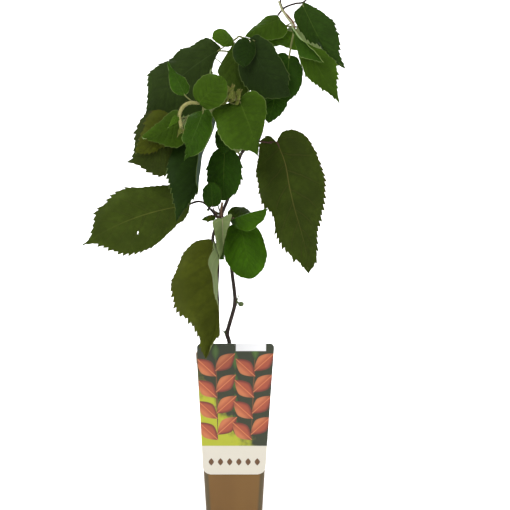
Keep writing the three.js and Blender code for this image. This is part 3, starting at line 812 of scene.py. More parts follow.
class Tone(Enum):
    """The base colours of the leaves, dealt out leaf by leaf."""

    DUSKY = LeafFinish("leaf_dusky", linear(53, 67, 15), OLIVE_VEIN, BROWN_RIM, 0.38)
    OLIVE = LeafFinish("leaf_olive", linear(67, 75, 14), OLIVE_VEIN, BROWN_RIM, 0.18)
    BRIGHT = LeafFinish("leaf_bright", linear(51, 86, 4), GREEN_VEIN, PALE_RIM, 0.22, 0.2, 0.42)
    SHADED = LeafFinish("leaf_shaded", linear(45, 63, 8), GREEN_VEIN, BROWN_RIM, 0.30, 0.3)
    DEEP = LeafFinish("leaf_deep", linear(31, 60, 3), GREEN_VEIN, BROWN_RIM, 0.40, 0.3)
    MID = LeafFinish("leaf_mid", linear(52, 77, 9), GREEN_VEIN, PALE_RIM, 0.26, 0.4)
    FRESH = LeafFinish("leaf_fresh", linear(42, 72, 5), LIME_VEIN, PALE_RIM, 0.30, 0.8, 0.45)
    GOLDEN = LeafFinish("leaf_golden", linear(60, 68, 8), OLIVE_VEIN, BROWN_RIM, 0.25)
    UMBER = LeafFinish("leaf_umber", linear(43, 55, 13), OLIVE_VEIN, BROWN_RIM, 0.20)
    SLATE = LeafFinish("leaf_slate", linear(40, 55, 17), linear(84, 104, 60), PALE_RIM, 0.20, 0.3)
    SMOKY = LeafFinish("leaf_smoky", linear(31, 47, 13), linear(76, 94, 60), PALE_RIM, 0.12, 0.3)
    INKY = LeafFinish("leaf_inky", linear(26, 45, 5), linear(56, 84, 44), PALE_RIM, 0.15, 0.3)
    RUSSET = LeafFinish("leaf_russet", linear(46, 60, 11), RUSSET_VEIN, BROWN_RIM, 0.50, 0.8)
    GREEN = LeafFinish("leaf_green", linear(38, 61, 14), GREEN_VEIN, BROWN_RIM, 0.32, 0.3)
    LIME = LeafFinish("leaf_lime", linear(59, 89, 9), PALE_VEIN, PALE_RIM, 0.25, 0.5, 0.45)
    DOWNY = LeafFinish("leaf_downy", linear(102, 114, 48), ROSY_VEIN, ROSY_RIM, 0.40, 0.7, 0.8)


class Felt(Enum):
    """The undersides of the leaves: the usual one, and those of three tones, one darkened as painted
    shade.
    """

    USUAL = FeltFinish()
    # Painted shade: a darker underside for the inky leaves, whose undersides show in shade inside
    # the plant.
    INKY = FeltFinish("leaf_underside_painted_shade", linear(66, 84, 68), linear(90, 104, 84))
    DOWNY = FeltFinish("leaf_underside_downy", linear(112, 120, 58), linear(140, 128, 76))
    FRESH = FeltFinish("leaf_underside_young", linear(146, 170, 114), linear(164, 182, 126))


class Skin(Enum):
    """The skins of the stems, stalks, buds and hairs."""

    BARK = BarkFinish("bark_old", linear(36, 27, 27), linear(62, 48, 44), linear(104, 92, 78))
    YOUNG = BarkFinish("bark_young", linear(88, 94, 46), linear(122, 124, 72), linear(138, 136, 92))
    RED = BarkFinish("petiole_red", linear(52, 32, 24), linear(78, 50, 36), linear(100, 78, 56))
    DOWN = BarkFinish(
        "shoot_down", linear(138, 138, 80), linear(166, 158, 104), linear(180, 166, 124), 0.9
    )
    LEAF_DOWN = BarkFinish(
        "leaf_down", linear(96, 108, 48), linear(150, 144, 84), linear(172, 140, 96), 0.9
    )
    PALE = BarkFinish(
        "stalk_pale", linear(132, 136, 98), linear(164, 160, 122), linear(176, 170, 134)
    )
    TAN = BarkFinish("stalk_tan", linear(104, 76, 58), linear(140, 108, 82), linear(156, 128, 100))
    BUD = BarkFinish("bud_green", linear(62, 78, 40), linear(92, 108, 62), linear(120, 128, 84))


Coats = dict[Enum, Material]


def all_coats() -> Coats:
    """Builds the materials that more than one piece uses."""
    return {kind: kind.value.material() for kinds in (Tone, Felt, Skin) for kind in kinds}


# Stems


def walked(points: Array) -> Array:
    """Measures how far each of a run of points is from the first, along the run."""
    steps = np.linalg.norm(np.diff(points, axis=0), axis=1)
    return np.concatenate([[0], np.cumsum(steps)])


class Line:
    """A smooth line through places, the same as the one that the solids follow."""

    def __init__(self, points: Sequence[Array]) -> None:
        """Measures the line.

        Args:
            points: the places that it runs through, in millimetres.
        """
        self.points = np.array(points, float)
        self.steps = np.linspace(0, 1, 201)
        self.walked = walked(self.evaluate(self.steps))
        self.length = float(self.walked[-1])

    def evaluate(self, t: Array) -> Array:
        """Gives points of the curve, spaced by the places and not by length.

        Args:
            t: parameters from 0 to 1.

        Returns:
            Their x, y and z.
        """
        points = self.points
        padded = np.vstack([2 * points[0] - points[1], points, 2 * points[-1] - points[-2]])
        place = np.clip(np.asarray(t, float), 0, 1) * (len(points) - 1)
        start = np.minimum(place.astype(int), len(points) - 2)
        w = (place - start)[:, None]
        p = [padded[start + i] for i in range(4)]
        p0, p1, p2, p3 = p
        d0, d1, d2 = (
            np.sum((b - a) ** 2, axis=1, keepdims=True) ** 0.25 for a, b in zip(p, p[1:])
        )
        out = ((p1 - p0) / d0 - (p2 - p0) / (d0 + d1) + (p2 - p1) / d1) * d1
        into = ((p2 - p1) / d1 - (p3 - p1) / (d1 + d2) + (p3 - p2) / d2) * d1
        square = -3 * p1 + 3 * p2 - 2 * out - into
        cube = 2 * p1 - 2 * p2 + out + into
        return p1 + out * w + square * w**2 + cube * w**3

    def at(self, share: Array | float) -> Array:
        """Gives points of the line.

        Args:
            share: shares of its length, or one.

        Returns:
            A row of x, y and z for each, or one place.
        """
        shares = np.atleast_1d(np.asarray(share, float))
        made = self.evaluate(np.interp(shares * self.length, self.walked, self.steps))
        return made if np.ndim(share) else made[0]

    def tangent(self, share: float) -> Array:
        """Gives the direction of the line at a share of its length."""
        step = 0.002
        return unit(self.at(min(share + step, 1)) - self.at(max(share - step, 0)))


@dataclass
class Limb:
    """A tapering stem along a line."""

    points: Sequence[Array]
    radii: Sequence[float]
    line: Line = field(init=False)

    def __post_init__(self) -> None:
        """Measures the line."""
        self.line = Line(self.points)

    def radius(self, share: Array | float) -> Array:
        """Gives the radius at shares of the length."""
        return np.interp(share, np.linspace(0, 1, len(self.radii)), self.radii)

    def nearest(self, point: Array, tries: int = 200) -> float:
        """Finds the share of the length that lies nearest to a point."""
        shares = np.arange(tries + 1) / tries
        return float(shares[np.argmin(np.linalg.norm(self.line.at(shares) - point, axis=1))])

    def besides(self, towards: Array, radius: float) -> list[Array]:
        """Starts a side stem clear of the skin.

        Args:
            towards: a place that its foot looks to.
            radius: its own radius.

        Returns:
            Its first two places.
        """
        share = self.nearest(towards)
        axis, along = self.line.at(share), self.line.tangent(share)
        out = towards - axis
        out = unit(out - along * (out @ along))
        start = axis + out * (self.radius(share) + GAP + radius * SEAT_TILT)
        return [start, start + out * SIDE_RUN]

    def beyond(self) -> list[Array]:
        """Gives the first two places of a stem that goes on past the tip."""
        end, ahead = self.line.at(1.0), self.line.tangent(1)
        return [end + ahead * GAP, end + ahead * GAP + ahead * TIP_RUN]

    def tube(self, name: str, sides: int, steps: int) -> Piece:
        """Models the stem with a plain skin."""
        return rod(name, self.line, self.radius, sides, steps)


def rod(
    name: str, line: Line, radius: Callable[[Array], Array], sides: int, steps: int,
    relief: Callable[[Array, Array], Array] | None = None,
) -> Piece:
    """Rolls a grid into a closed tube along a line.

    Args:
        name: the object's name.
        line: the tube's middle.
        radius: gives its radius in millimetres at shares of the length.
        sides, steps: how many faces it has round and along.
        relief: gives what is added to the radius, by turn and share.

    Returns:
        The tube.
    """
    sheet, across, along = grid(name, sides, steps)
    ring = np.round(along * steps).astype(int)
    middles = line.at(np.arange(steps + 1) / steps)
    ahead = np.gradient(middles, axis=0)
    ahead /= np.linalg.norm(ahead, axis=1, keepdims=True)
    first = [unit(np.cross(ahead[0], ODD_WAY))]
    for direction in ahead[1:]:
        first.append(unit(first[-1] - direction * (first[-1] @ direction)))
    x = np.array(first)[ring]
    y = np.cross(ahead[ring], x)
    turn = (across + 1) * math.pi
    wide = radius(along) + (relief(turn, along) if relief else 0)
    round_it = x * np.cos(turn)[:, None] + y * np.sin(turn)[:, None]
    move_vertices(sheet, (middles[ring] + round_it * wide[:, None]) * MM)
    set_uv(sheet, np.c_[turn / (2 * math.pi) * 0.05, along * line.length / 200])

    def closed() -> None:
        """Joins the seam and fills the two ends."""
        bpy.ops.mesh.remove_doubles(threshold=1e-6)
        bpy.ops.mesh.select_all(action="SELECT")
        bpy.ops.mesh.fill_holes(sides=0)
        bpy.ops.mesh.select_all(action="SELECT")
        bpy.ops.mesh.normals_make_consistent(inside=False)

    edited(sheet, closed)
    return sheet


# Leaves


@dataclass(frozen=True)
class Outline:
    """A leaf's half outline: a cubic curve from the petiole to the tip, by its length."""

    lobe: float
    flank: float
    shoulder: float
    drip: float


class Shape(Enum):
    """The outlines that the leaves have."""

    HEART = Outline(0.55, 0.82, 0.66, 0.04)
    ROUND = Outline(0.2, 1.25, 0.95, 0.03)
    OVAL = Outline(0.02, 1.0, 1.0, 0.02)
    OVATE = Outline(0.12, 0.95, 0.8, 0.06)
    LONG = Outline(0.5, 0.95, 0.8, 0.03)
    FULL = Outline(0.1, 1.04, 0.88, 0.06)
    BROAD = Outline(-0.08, 1.36, 0.82, 0.02)
    YOUNG = Outline(0.06, 0.62, 0.5, 0.16)


@dataclass(frozen=True)
class Lie:
    """How a blade lies: turns in degrees, folds and curls of its two halves, and a sideways bow."""

    roll: float = 0.0
    bend: float = 25.0
    sweep: float = 0.0
    fold: tuple[float, float] = (9.0, 9.0)
    tip_fold: tuple[float, float] | None = None
    curl: tuple[float, float] = (13.0, 13.0)
    lift: float = 0.1
    face: Place = TOWARDS_VIEWER


def path(*flat: float) -> Path:
    """Pairs numbers up as x and z."""
    return tuple(zip(flat[::2], flat[1::2]))


@dataclass(frozen=True)
class Traced:
    """Where a leaf's two margins and its midrib are seen, as x and z from the base to the tip.

    The plus margin is at across 1 and the minus margin at across -1. An empty path leaves that
    line where the leaf's own shape puts it.
    """

    plus: Path = ()
    minus: Path = ()
    rib: Path = ()

    def line(self, hand: int) -> Path:
        """Gives the plus margin for 1, the minus margin for -1 and the midrib for 0."""
        return (self.rib, self.plus, self.minus)[hand]


class Sight(Enum):
    """The lines of the leaves that show most, as they are seen from the front."""

    UNTRACED = Traced()
    LONG_LEFT = Traced(
        path(-51, 380, -54, 392, -62, 399, -74, 401, -84, 401, -100, 400, -120, 397, -140, 391,
             -152, 378, -160, 368, -162, 357, -164, 345, -169, 337, -175, 331),
        path(-51, 380, -52, 372, -54, 365, -59, 359, -67, 356, -75, 346, -86, 334, -106, 324,
             -127, 322, -140, 324, -149, 328, -158, 332, -165, 333, -170, 333, -175, 331))
    HANGING = Traced(
        path(-30, 339, -45, 336, -52, 329, -60, 319, -66, 308, -70, 297, -74, 284, -71, 272,
             -68, 262, -62, 252, -55, 246, -50, 239, -45, 234, -41, 224, -38, 211, -33, 201),
        path(-23, 336, -23, 331, -28, 319, -30, 309, -28, 297, -23, 279, -18, 254, -18, 238,
             -19, 227, -26, 213, -33, 201),
        path(-25, 338, -20, 327, -18, 317, -20, 302, -19, 285, -20, 272, -18, 254, -24, 227,
             -33, 201))
    WEDGE = Traced(
        path(-10, 366, -3, 367, -7, 352, -10, 341, -13, 328, -17, 315),
        path(-19, 363, -25, 359, -24, 350, -22, 342, -21, 330, -17, 315))
    DRIP = Traced(
        path(-56, 505, -53, 508, -52, 515, -57, 523, -66, 530, -72, 535, -77, 544),
        path(-58, 503, -67, 506, -73, 511, -75, 523, -76, 532, -77, 544))
    HEART_TIP = Traced(
        path(-36, 486, -44, 485, -55, 476, -58, 463, -60, 454, -56, 443, -58, 429),
        path(-34, 487, -30, 488, -26, 481, -26, 469, -28, 457, -36, 442, -45, 435, -54, 432,
             -58, 429))
    BROAD_LEFT = Traced(
        path(-16, 560, -29, 570, -37, 568, -48, 562, -66, 554, -75, 545, -87, 539, -99, 529,
             -100, 517, -101, 496, -102, 485, -104, 479),
        path(-19, 554, -24, 545, -27, 535, -28, 517, -30, 499, -38, 485, -51, 480, -68, 478,
             -86, 479, -97, 480, -104, 479))
    LAYER_LOW = Traced(
        path(-72, 474, -86, 485, -97, 486, -103, 482, -115, 460, -117, 433, -124, 427),
        path(-68, 464, -71, 441, -74, 423, -79, 412, -87, 411, -102, 417, -112, 424, -124, 427))
    LAYER_MID = Traced(
        path(-68, 481, -86, 487, -99, 482, -106, 463, -111, 450, -114, 438),
        path(-65, 466, -72, 453, -82, 445, -94, 438, -104, 437, -114, 438))
    LAYER_TOP = Traced(
        path(-62, 480, -66, 487, -75, 484, -88, 472, -100, 463, -107, 456),
        path(-57, 464, -56, 454, -60, 447, -72, 444, -84, 448, -97, 452, -107, 456))
    LAYER_DARK = Traced(
        path(-33, 476, -54, 463, -72, 451, -78, 441, -78, 419, -75, 403, -70, 376, -67, 359),
        path(-24, 482, -28, 465, -35, 451, -41, 436, -44, 415, -45, 403, -42, 394, -55, 376,
             -67, 359),
        path(-21, 486, -24, 466, -31, 451, -37, 436, -40, 415, -44, 400, -56, 378, -67, 359))
    RIGHT_TOP = Traced(
        path(75, 605, 69, 599, 69, 590, 75, 578, 87, 566, 98, 561, 104, 552, 118, 540, 128, 534),
        path(80, 611, 88, 608, 101, 599, 114, 590, 117, 580, 120, 574, 122, 550, 128, 534),
        path(78, 609, 86, 592, 96, 572, 110, 552, 128, 534))
    RIGHT_LOWER = Traced(
        path(75, 562, 73, 556, 74, 549, 78, 536, 81, 528, 90, 519, 101, 510, 113, 503, 121, 495),
        path(82, 565, 96, 558, 110, 549, 118, 540, 118, 527, 119, 513, 120, 502, 121, 495))
    STRIPED = Traced(
        path(66, 579, 70, 569, 71, 560, 74, 550, 87, 545, 102, 542),
        path(67, 580, 73, 572, 82, 564, 90, 557, 96, 550, 102, 542),
        path(67, 582, 73, 574, 81, 564, 88, 557, 95, 549, 102, 542))
    CENTRE_RIGHT = Traced(
        path(58, 553, 52, 553, 45, 542, 43, 527, 48, 508, 59, 495),
        path(65, 550, 72, 548, 78, 533, 78, 519, 72, 507, 65, 499, 59, 495))
    ROUND_CENTRE = Traced(
        path(16, 563, 9, 554, 5, 542, 5, 533, 8, 520, 18, 510, 32, 502, 44, 500, 58, 502, 64, 503),
        path(18, 570, 25, 574, 36, 569, 44, 561, 51, 550, 58, 539, 62, 527, 62, 514, 64, 503))
    ROUND_LOBE = Traced(
        path(13, 571, 4, 568, -2, 558, -2, 550, 2, 542, 11, 536),
        path(18, 571, 23, 564, 24, 554, 20, 544, 11, 536))
    UPPER_BACK = Traced(
        path(54, 591, 48, 596, 39, 596, 29, 588, 18, 579, 12, 572),
        path(57, 587, 61, 582, 57, 572, 47, 568, 36, 568, 22, 568, 12, 572))
    UPPER_FRONT = Traced(
        path(74, 570, 67, 580, 52, 577, 38, 570, 36, 565),
        path(75, 563, 74, 557, 67, 556, 54, 561, 44, 560, 36, 565))
    LONG_RIGHT = Traced(
        path(48, 450, 41, 457, 34, 454, 28, 444, 26, 430, 24, 414, 28, 397, 33, 380, 41, 367,
             46, 350, 53, 333, 64, 320, 74, 312, 85, 299),
        path(50, 454, 56, 463, 66, 465, 78, 458, 89, 447, 96, 437, 100, 424, 104, 408, 103, 387,
             101, 367, 97, 347, 95, 327, 93, 312, 85, 299),
        path(49, 450, 58, 427, 63, 400, 69, 374, 78, 343, 83, 320, 85, 299))
    HEART_CENTRE = Traced(
        path(3, 497, -16, 492, -26, 484, -23, 474, -17, 458, -11, 448, -2, 442, 11, 441, 21, 439,
             27, 434),
        path(9, 503, 16, 508, 23, 510, 29, 505, 35, 497, 37, 484, 34, 470, 30, 457, 28, 445,
             27, 434),
        path(6, 497, 13, 480, 19, 464, 24, 447, 27, 434))
    BEHIND_CENTRE = Traced(
        path(1, 567, -7, 555, -16, 540, -19, 531, -14, 520, -11, 508, -1, 490),
        path(9, 567, 16, 547, 18, 527, 15, 507, -1, 490))
    LOW_RIGHT = Traced(
        path(-4, 358, -2, 355, 8, 349, 17, 348, 26, 354, 34, 361, 37, 372),
        path(-6, 361, 3, 363, 17, 368, 27, 370, 37, 372))
    LOW_BEHIND = Traced(
        path(-8, 365, 2, 357, 12, 358, 20, 368),
        path(-8, 370, -3, 375, 6, 376, 14, 374, 20, 368))
    UPPER_SMALL = Traced(path(-2, 570, -9, 578, -17, 581, -24, 577, -26, 570))


@dataclass
class Leaf:
    """One leaf. Base and tip end its midrib, and origin is where its petiole begins."""

    shape: Shape
    base: Array
    tip: Array
    width: float
    origin: Array
    tone: Tone
    lie: Lie = Lie()
    teeth: float = 1.0
    hole: tuple[float, float] | None = None
    sight: Sight = Sight.UNTRACED
    stalk: float = 1.0

    def __post_init__(self) -> None:
        """Works out the leaf's own axes, its widest part and how far its lines are drawn aside."""
        self.length = float(np.linalg.norm(self.tip - self.base))
        self.along = unit(self.tip - self.base)
        face = np.array(self.lie.face, float)
        normal = unit(face - self.along * (face @ self.along))
        roll = math.radians(self.lie.roll)
        self.normal = normal * math.cos(roll) + np.cross(self.along, normal) * math.sin(roll)
        self.side = np.cross(self.along, self.normal)
        self.hand = 1 if np.cross(self.side, self.along) @ self.normal > 0 else -1
        self.widest = float(max(self.half_curve(np.arange(0, 1.0001, 0.02))[0]))
        self.seed = int(abs(self.base[0]) * 31 + abs(self.tip[2]) * 17)
        self.pull: dict[int, Array] = {}
        lines = {way: self.sight.value.line(way) for way in (0, 1, -1)}
        self.pull = {way: self.pulled(way, line) for way, line in lines.items() if line}

    def pulled(self, way: int, line: Path) -> Array:
        """Works out how far a margin or the midrib moves to lie where it is seen.

        Args:
            way: 1 or -1 for the margins, 0 for the midrib.
            line: where it is seen.

        Returns:
            A row of x and z for each even step of r.
        """
        r = np.linspace(0, 1, TRACE_STEPS)
        now = as_seen(self.surface(np.full(TRACE_STEPS, float(way)), r))
        gone = walked(now)
        target = Line([np.array([x, 0, z]) for x, z in line]).at(gone / gone[-1])
        return target[:, [0, 2]] - now

    def drawn(self, places: Array, across: Array, r: Array) -> Array:
        """Moves points of the surface so that its lines are seen where they were traced.

        Args:
            places: a row of x, y and z for each point.
            across, r: where the points lie on the blade.

        Returns:
            The moved places.
        """
        outer = np.abs(across) ** 1.15
        shares = {0: 1 - outer, 1: outer * (across > 0), -1: outer * (across < 0)}
        shift = np.zeros((len(places), 3))
        for way, pull in self.pull.items():
            for axis, moves in zip((0, 2), pull.T):
                steps = np.linspace(0, 1, TRACE_STEPS)
                shift[:, axis] += np.interp(r, steps, moves) * shares[way]
        return places + shift * ((EYE_DISTANCE + places[:, 1]) / EYE_DISTANCE)[:, None]

    def half_curve(self, r: Array) -> tuple[Array, Array]:
        """Gives the bare outline.

        Args:
            r: 0 at the base to 1 at the tip.

        Returns:
            Its places across and along, by the length.
        """
        form, s = self.shape.value, 1 - r
        along = -3 * s * s * r * form.lobe + 3 * s * r * r * form.shoulder + r**3
        return 3 * s * s * r + 3 * s * r * r * form.flank, along

    def margin(self, r: Array) -> tuple[Array, Array]:
        """Gives the margin with no teeth.

        Args:
            r: 0 at the base to 1 at the tip.

        Returns:
            Its places across and along, in millimetres.
        """
        across, along = self.half_curve(r)
        drip = self.shape.value.drip
        least = (BASE_WIDTH + (TIP_WIDTH * 0.4 - BASE_WIDTH) * r) / 2
        edge = np.maximum(across / self.widest * self.width / 2, least)
        return edge, self.length * (along * (1 - drip) + drip * smoothstep(r, 0.86, 1))

    def surface(self, across: Array, r: Array, tooth: Array | float = 0.0) -> Array:
        """Gives points of the blade's smooth middle surface.

        Args:
            across: from -1 to 1.
            r: 0 at the base to 1 at the tip.
            tooth: how far the margin stands out there, in millimetres.

        Returns:
            Their x, y and z.
        """
        reach = np.abs(across)
        edge, edge_along = self.margin(r)
        if np.any(tooth):
            aside, ahead = self.outward(r)
            edge, edge_along = edge + tooth * aside, edge_along + tooth * ahead
        rib = self.length * r**VEIN_SLANT
        along = rib + (edge_along - rib) * reach**VEIN_CURVE
        half = (across <= 0).astype(int)
        opened = smoothstep(rib / self.length, 0.4, 0.9)
        fold = np.radians(self.lie.fold)[half]
        tip_fold = np.radians(self.lie.tip_fold or self.lie.fold)[half]
        start = fold + (tip_fold - fold) * opened
        turn = np.maximum(np.radians(self.lie.curl)[half] * 2 * edge / self.width, 1e-4)
        angle = start + turn * reach
        flat = np.sign(across) * (edge / turn * (np.sin(angle) - np.sin(start)))
        drop = edge / turn * (np.cos(start) - np.cos(angle))
        return self.drawn(self.placed(along / self.length, flat, -drop), across, r)

    def outward(self, r: Array, step: float = 0.012, lean: float = 0.6) -> tuple[Array, Array]:
        """Gives the way that teeth point: off the margin and a little forward.

        Args:
            r: 0 at the base to 1 at the tip.
            step: how far apart the margin's slope is read.
            lean: how far forward they point.

        Returns:
            The parts of that direction across and along.
        """
        edge, along = self.margin(np.maximum(r - step, 0))
        edge_on, along_on = self.margin(np.minimum(r + step, 1))
        run, rise = edge_on - edge, along_on - along
        length = np.maximum(np.hypot(run, rise), 1e-6)
        run, rise = run / length, rise / length
        return rise + lean * run, lean * rise - run

    def placed(self, u: Array | float, sideways: Array | float, height: Array | float) -> Array:
        """Carries places beside the midrib along the arch that it follows.

        Args:
            u: their share of the leaf's length.
            sideways, height: how far they are from the midrib, in millimetres.

        Returns:
            Their x, y and z.
        """
        u, sideways, height = (
            np.atleast_1d(np.asarray(v, float))[:, None] for v in (u, sideways, height)
        )
        bend = max(math.radians(self.lie.bend), 1e-3)
        radius = self.length / (2 * math.sin(bend / 2))
        angle = bend * (u - 0.5)
        chord = radius * (np.sin(angle) + math.sin(bend / 2))
        rise = radius * (np.cos(angle) - math.cos(bend / 2))
        top = self.normal * np.cos(angle) + self.along * np.sin(angle)
        swept = sideways + self.lie.sweep * self.length * 4 * u * (1 - u)
        arch = self.base + self.along * chord + self.normal * rise
        return arch + self.side * swept + top * height

    def normals(self, across: Array, r: Array, step: float = 0.01) -> Array:
        """Gives the surface's normals on the leaf's upper side.

        Args:
            across, r: where the points lie on the blade.
            step: how far apart the slope is read.

        Returns:
            Their x, y and z.
        """
        right, left = np.minimum(across + step, 1), np.maximum(across - step, -1)
        ahead, behind = np.minimum(r + step, 1), np.maximum(r - step, 0)
        sideways = self.surface(right, r) - self.surface(left, r)
        onward = self.surface(across, ahead) - self.surface(across, behind)
        made = np.cross(sideways, onward)
        made /= np.maximum(np.linalg.norm(made, axis=1, keepdims=True), 1e-9)
        if max(map(abs, (*self.lie.fold, *(self.lie.tip_fold or ())))) < STEEP_FOLD:
            return made * np.where(np.sum(made * self.normal, axis=1) < 0, -1, 1)[:, None]
        return made * self.hand

    def row_places(self, rows: int) -> Array:
        """Spaces the rows evenly along the margin.

        Args:
            rows: how many rows of faces the blade has.

        Returns:
            The value of r at each row.
        """
        fine = np.linspace(0, 1, 400)
        gone = walked(np.c_[self.margin(fine)])
        return np.interp(np.linspace(0, gone[-1], rows + 1), gone, fine)

    def columns(self, even: Array) -> Array:
        """Crowds the grid's columns beside the midrib and along the margin."""
        spread = (0, 0.02, 0.06, 0.14, 0.26, 0.39, 0.52, 0.65, 0.77, 0.86, 0.925, 0.97, 1)
        return np.sign(even) * np.interp(np.abs(even), np.linspace(0, 1, len(spread)), spread)

    def blade(self, coats: Coats) -> Piece:
        """Makes the blade: a grid mapped to the surface, with veins, waves, teeth and thickness.

        Args:
            coats: the materials.

        Returns:
            The blade.
        """
        count = max(7, round(1.25 * self.length / TOOTH_SPACING))
        rows = count * ROWS_PER_TOOTH
        sheet, even, t = grid("blade", 24 if self.length > 25 else 12, rows)
        across, row = self.columns(even), np.round(t * rows).astype(int)
        r, reach = self.row_places(rows)[row], np.abs(across)
        random = np.random.default_rng(self.seed)
        half = (across > 0).astype(int)
        uneven = random.uniform(0.5, 1.25, (2, count + 1))
        uneven *= np.where(random.random((2, count + 1)) < 0.16, 0.2, 1)
        phase = random.uniform(0, 2 * math.pi, 6)
        place = row + 2 * half
        rise = (place % ROWS_PER_TOOTH) / (ROWS_PER_TOOTH - 1)
        size = uneven[half, np.minimum(place // ROWS_PER_TOOTH, count)]
        ends = smoothstep(t, 0.02, 0.1) * (1 - smoothstep(t, 0.9, 0.98))
        toothed = self.shape is not Shape.YOUNG
        depth = TOOTH_DEPTH * self.teeth * min(1, self.length / 80) if toothed else 0
        depth = depth * (0.35 + 0.65 * smoothstep(t, 0.2, 0.55))
        swell = np.sin(t * 16 + phase[4] + 2 * half) + 0.6 * np.sin(t * 29 + phase[5] - half)
        tooth = (rise * size - 0.4) * depth + 0.0055 * self.length * swell
        tooth = tooth * ends * smoothstep(reach, 0.8, 1)
        middle = np.exp(-((reach * self.margin(r)[0] / 1.2) ** 2))
        waves = np.sin(t * 19 + phase[0] + across) + 0.7 * np.sin(t * 33 + phase[1] - 2 * across)
        relief = 0.007 * self.length * waves * reach**2.2 * ends
        relief -= (0.18 + 0.0016 * self.length) * middle
        dimples = np.sin(across * 9 + phase[2]) * np.sin(t * 23 + phase[3])
        relief += 0.0028 * self.length * dimples * reach * ends
        places = self.surface(across, r, tooth) + self.normals(across, r) * relief[:, None]
        move_vertices(sheet, places * MM)
        edge, along = self.margin(r)
        set_uv(sheet, np.c_[across * edge / 20 + 0.5, (along + self.seed % 97) / 20])
        set_share(sheet, "reach", reach)
        slant = 0.16 * np.sign(across) - 1.1 * reach
        set_share(sheet, "rib", r**VEIN_SLANT * VEIN_PAIRS + 0.4 + slant)
        if self.hand < 0:
            edited(sheet, bpy.ops.mesh.flip_normals)
        if self.hole is not None:
            self.pierce(sheet)
        sheet.data.materials.append(coats[self.tone])
        sheet.data.materials.append(coats[Felt.__members__.get(self.tone.name, Felt.USUAL)])
        wall = {"thickness": BLADE_THICKNESS * (0.6 if self.length < 40 else 1) * MM, "offset": 0}
        return modified(sheet, "SOLIDIFY", material_offset=1, material_offset_rim=0, **wall)

    def pierce(self, sheet: Piece) -> None:
        """Draws two faces in and takes them out, where an insect has bitten through.

        Args:
            sheet: the blade, still one sheet.
        """
        mesh = bmesh.new()
        mesh.from_mesh(sheet.data)
        middles = as_seen(np.array([face.calc_center_median() for face in mesh.faces]) / MM)
        away = np.linalg.norm(middles - np.array(self.hole), axis=1)
        mesh.faces.ensure_lookup_table()
        bitten = [mesh.faces[i] for i in np.argsort(away)[:2]]
        corners = {corner for face in bitten for corner in face.verts}
        middle = sum((corner.co for corner in corners), Vector()) / len(corners)
        for corner in corners:
            corner.co = corner.co.lerp(middle, 0.45)
        bmesh.ops.delete(mesh, geom=bitten, context="FACES")
        mesh.to_mesh(sheet.data)
        mesh.free()

    def petiole(self) -> Piece:
        """Makes the petiole, which runs on as the midrib under the blade.

        Returns:
            The petiole.
        """
        into = unit(self.placed(0.04, 0, 0)[0] - self.base)
        span = float(np.linalg.norm(self.origin - self.base))
        up = np.array([0, 0, span * self.lie.lift])
        start = self.origin + (self.base - self.origin) * 0.4 + up
        end = self.base - into * span * 0.3
        base = self.surface(np.zeros(1), np.zeros(1))[0]
        ts = np.arange((steps := max(2, round(span / 18))) + 1)[:, None] / steps
        s = 1 - ts
        stalk = s**3 * self.origin + 3 * s * s * ts * start + 3 * s * ts * ts * end + ts**3 * base
        scale = PETIOLE * self.stalk * (0.55 + 0.45 * min(1, self.length / 70))
        shares = np.array([0.08, 0.2, 0.4, 0.6, 0.78, 0.92]) ** (1 / VEIN_SLANT)
        sunk = (0.62 + 0.0016 * self.length + scale * (1 - shares**2))[:, None]
        rib = self.surface(np.zeros(len(shares)), shares) - self.normal * sunk
        line = Line([*stalk, *rib])
        blade_share = 0.92 * self.length / line.length

        def radius(share: Array) -> Array:
            """Swells at the foot, narrows to the blade and fades to the tip."""
            foot = scale * (1.25 - 0.3 * smoothstep(share, 0, 0.12))
            return foot * (1 - 0.88 * smoothstep(share, 1 - blade_share, 1))

        return rod("petiole", line, radius, 8, max(12, round(line.length / 3)))


def leaf(
    shape: Shape, base: Place, tip: Place, width: float, origin: Place, *looks: object,
    **more: object,
) -> Leaf:
    """Makes a leaf from places as seen, and hands on the rest of its values."""
    return Leaf(shape, seen(base), seen(tip), width, seen(origin), *looks, **more)


# The plant's plan


Limbs = dict[str, Limb]


def lay_out() -> Limbs:
    """Lays out the main stem, its arc at the top and its four side shoots.

    Returns:
        The limbs by their nodes' names.
    """
    main = Limb(seen_all([
        (-5, SOIL_LEVEL + GAP, 0), (-5, 202, 0), (-6, 220, 0), (-8.6, 230, 0), (-7, 237, 0),
        (0.5, 264, -1), (0.5, 272, -1), (-3.2, 304, 0), (-5, 330, 1), (-13, 357, 2), (-15, 366, 1),
        (-12.5, 373, 1), (-8, 384, 2), (0, 408, 5), (8, 437, 8), (19, 448, 4), (27, 453, -4),
        (32, 467, -6), (33, 482, 2), (28, 494, 9), (31, 512, 7), (38, 530, -3), (34, 548, -2),
        (33, 566, 5), (41, 582, 3), (50, 596, 0),
    ]), (2.5, 2.05, 2.0, 1.85, 1.3))
    arc = Limb([*main.beyond(), *seen_all([
        (58, 605, -2), (70, 609.5, -3), (79, 611, -3), (84, 617, 0), (83, 628, 3), (74, 635, 4),
        (62, 632, 0), (54, 621, -8), (53, 611, -13), (56, 603, -15),
    ])], (STEM_TIP, 1.1, 0.9))
    limbs = {"main_stem": main, "top_arc": arc}
    for node, towards, way, tip in (
        ("left_shoot", (24, 486, -8), [(18, 493, -24), (8, 499, -38), (-2, 501, -46)], 1.1),
        ("lower_left_shoot", (22, 506, 14), [(8, 506, 12), (-10, 496, 6), (-26, 486, -2)], 1.0),
        ("upper_left_shoot", (25, 560, 4), [(18, 568, 4), (8, 571, 0)], 1.0),
        ("back_shoot", (26, 530, 16), [(22, 538, 22), (14, 546, 36)], 1.0),
    ):
        limbs[node] = Limb([*main.besides(seen(towards), SHOOT), *seen_all(way)], (SHOOT, tip))
    return limbs


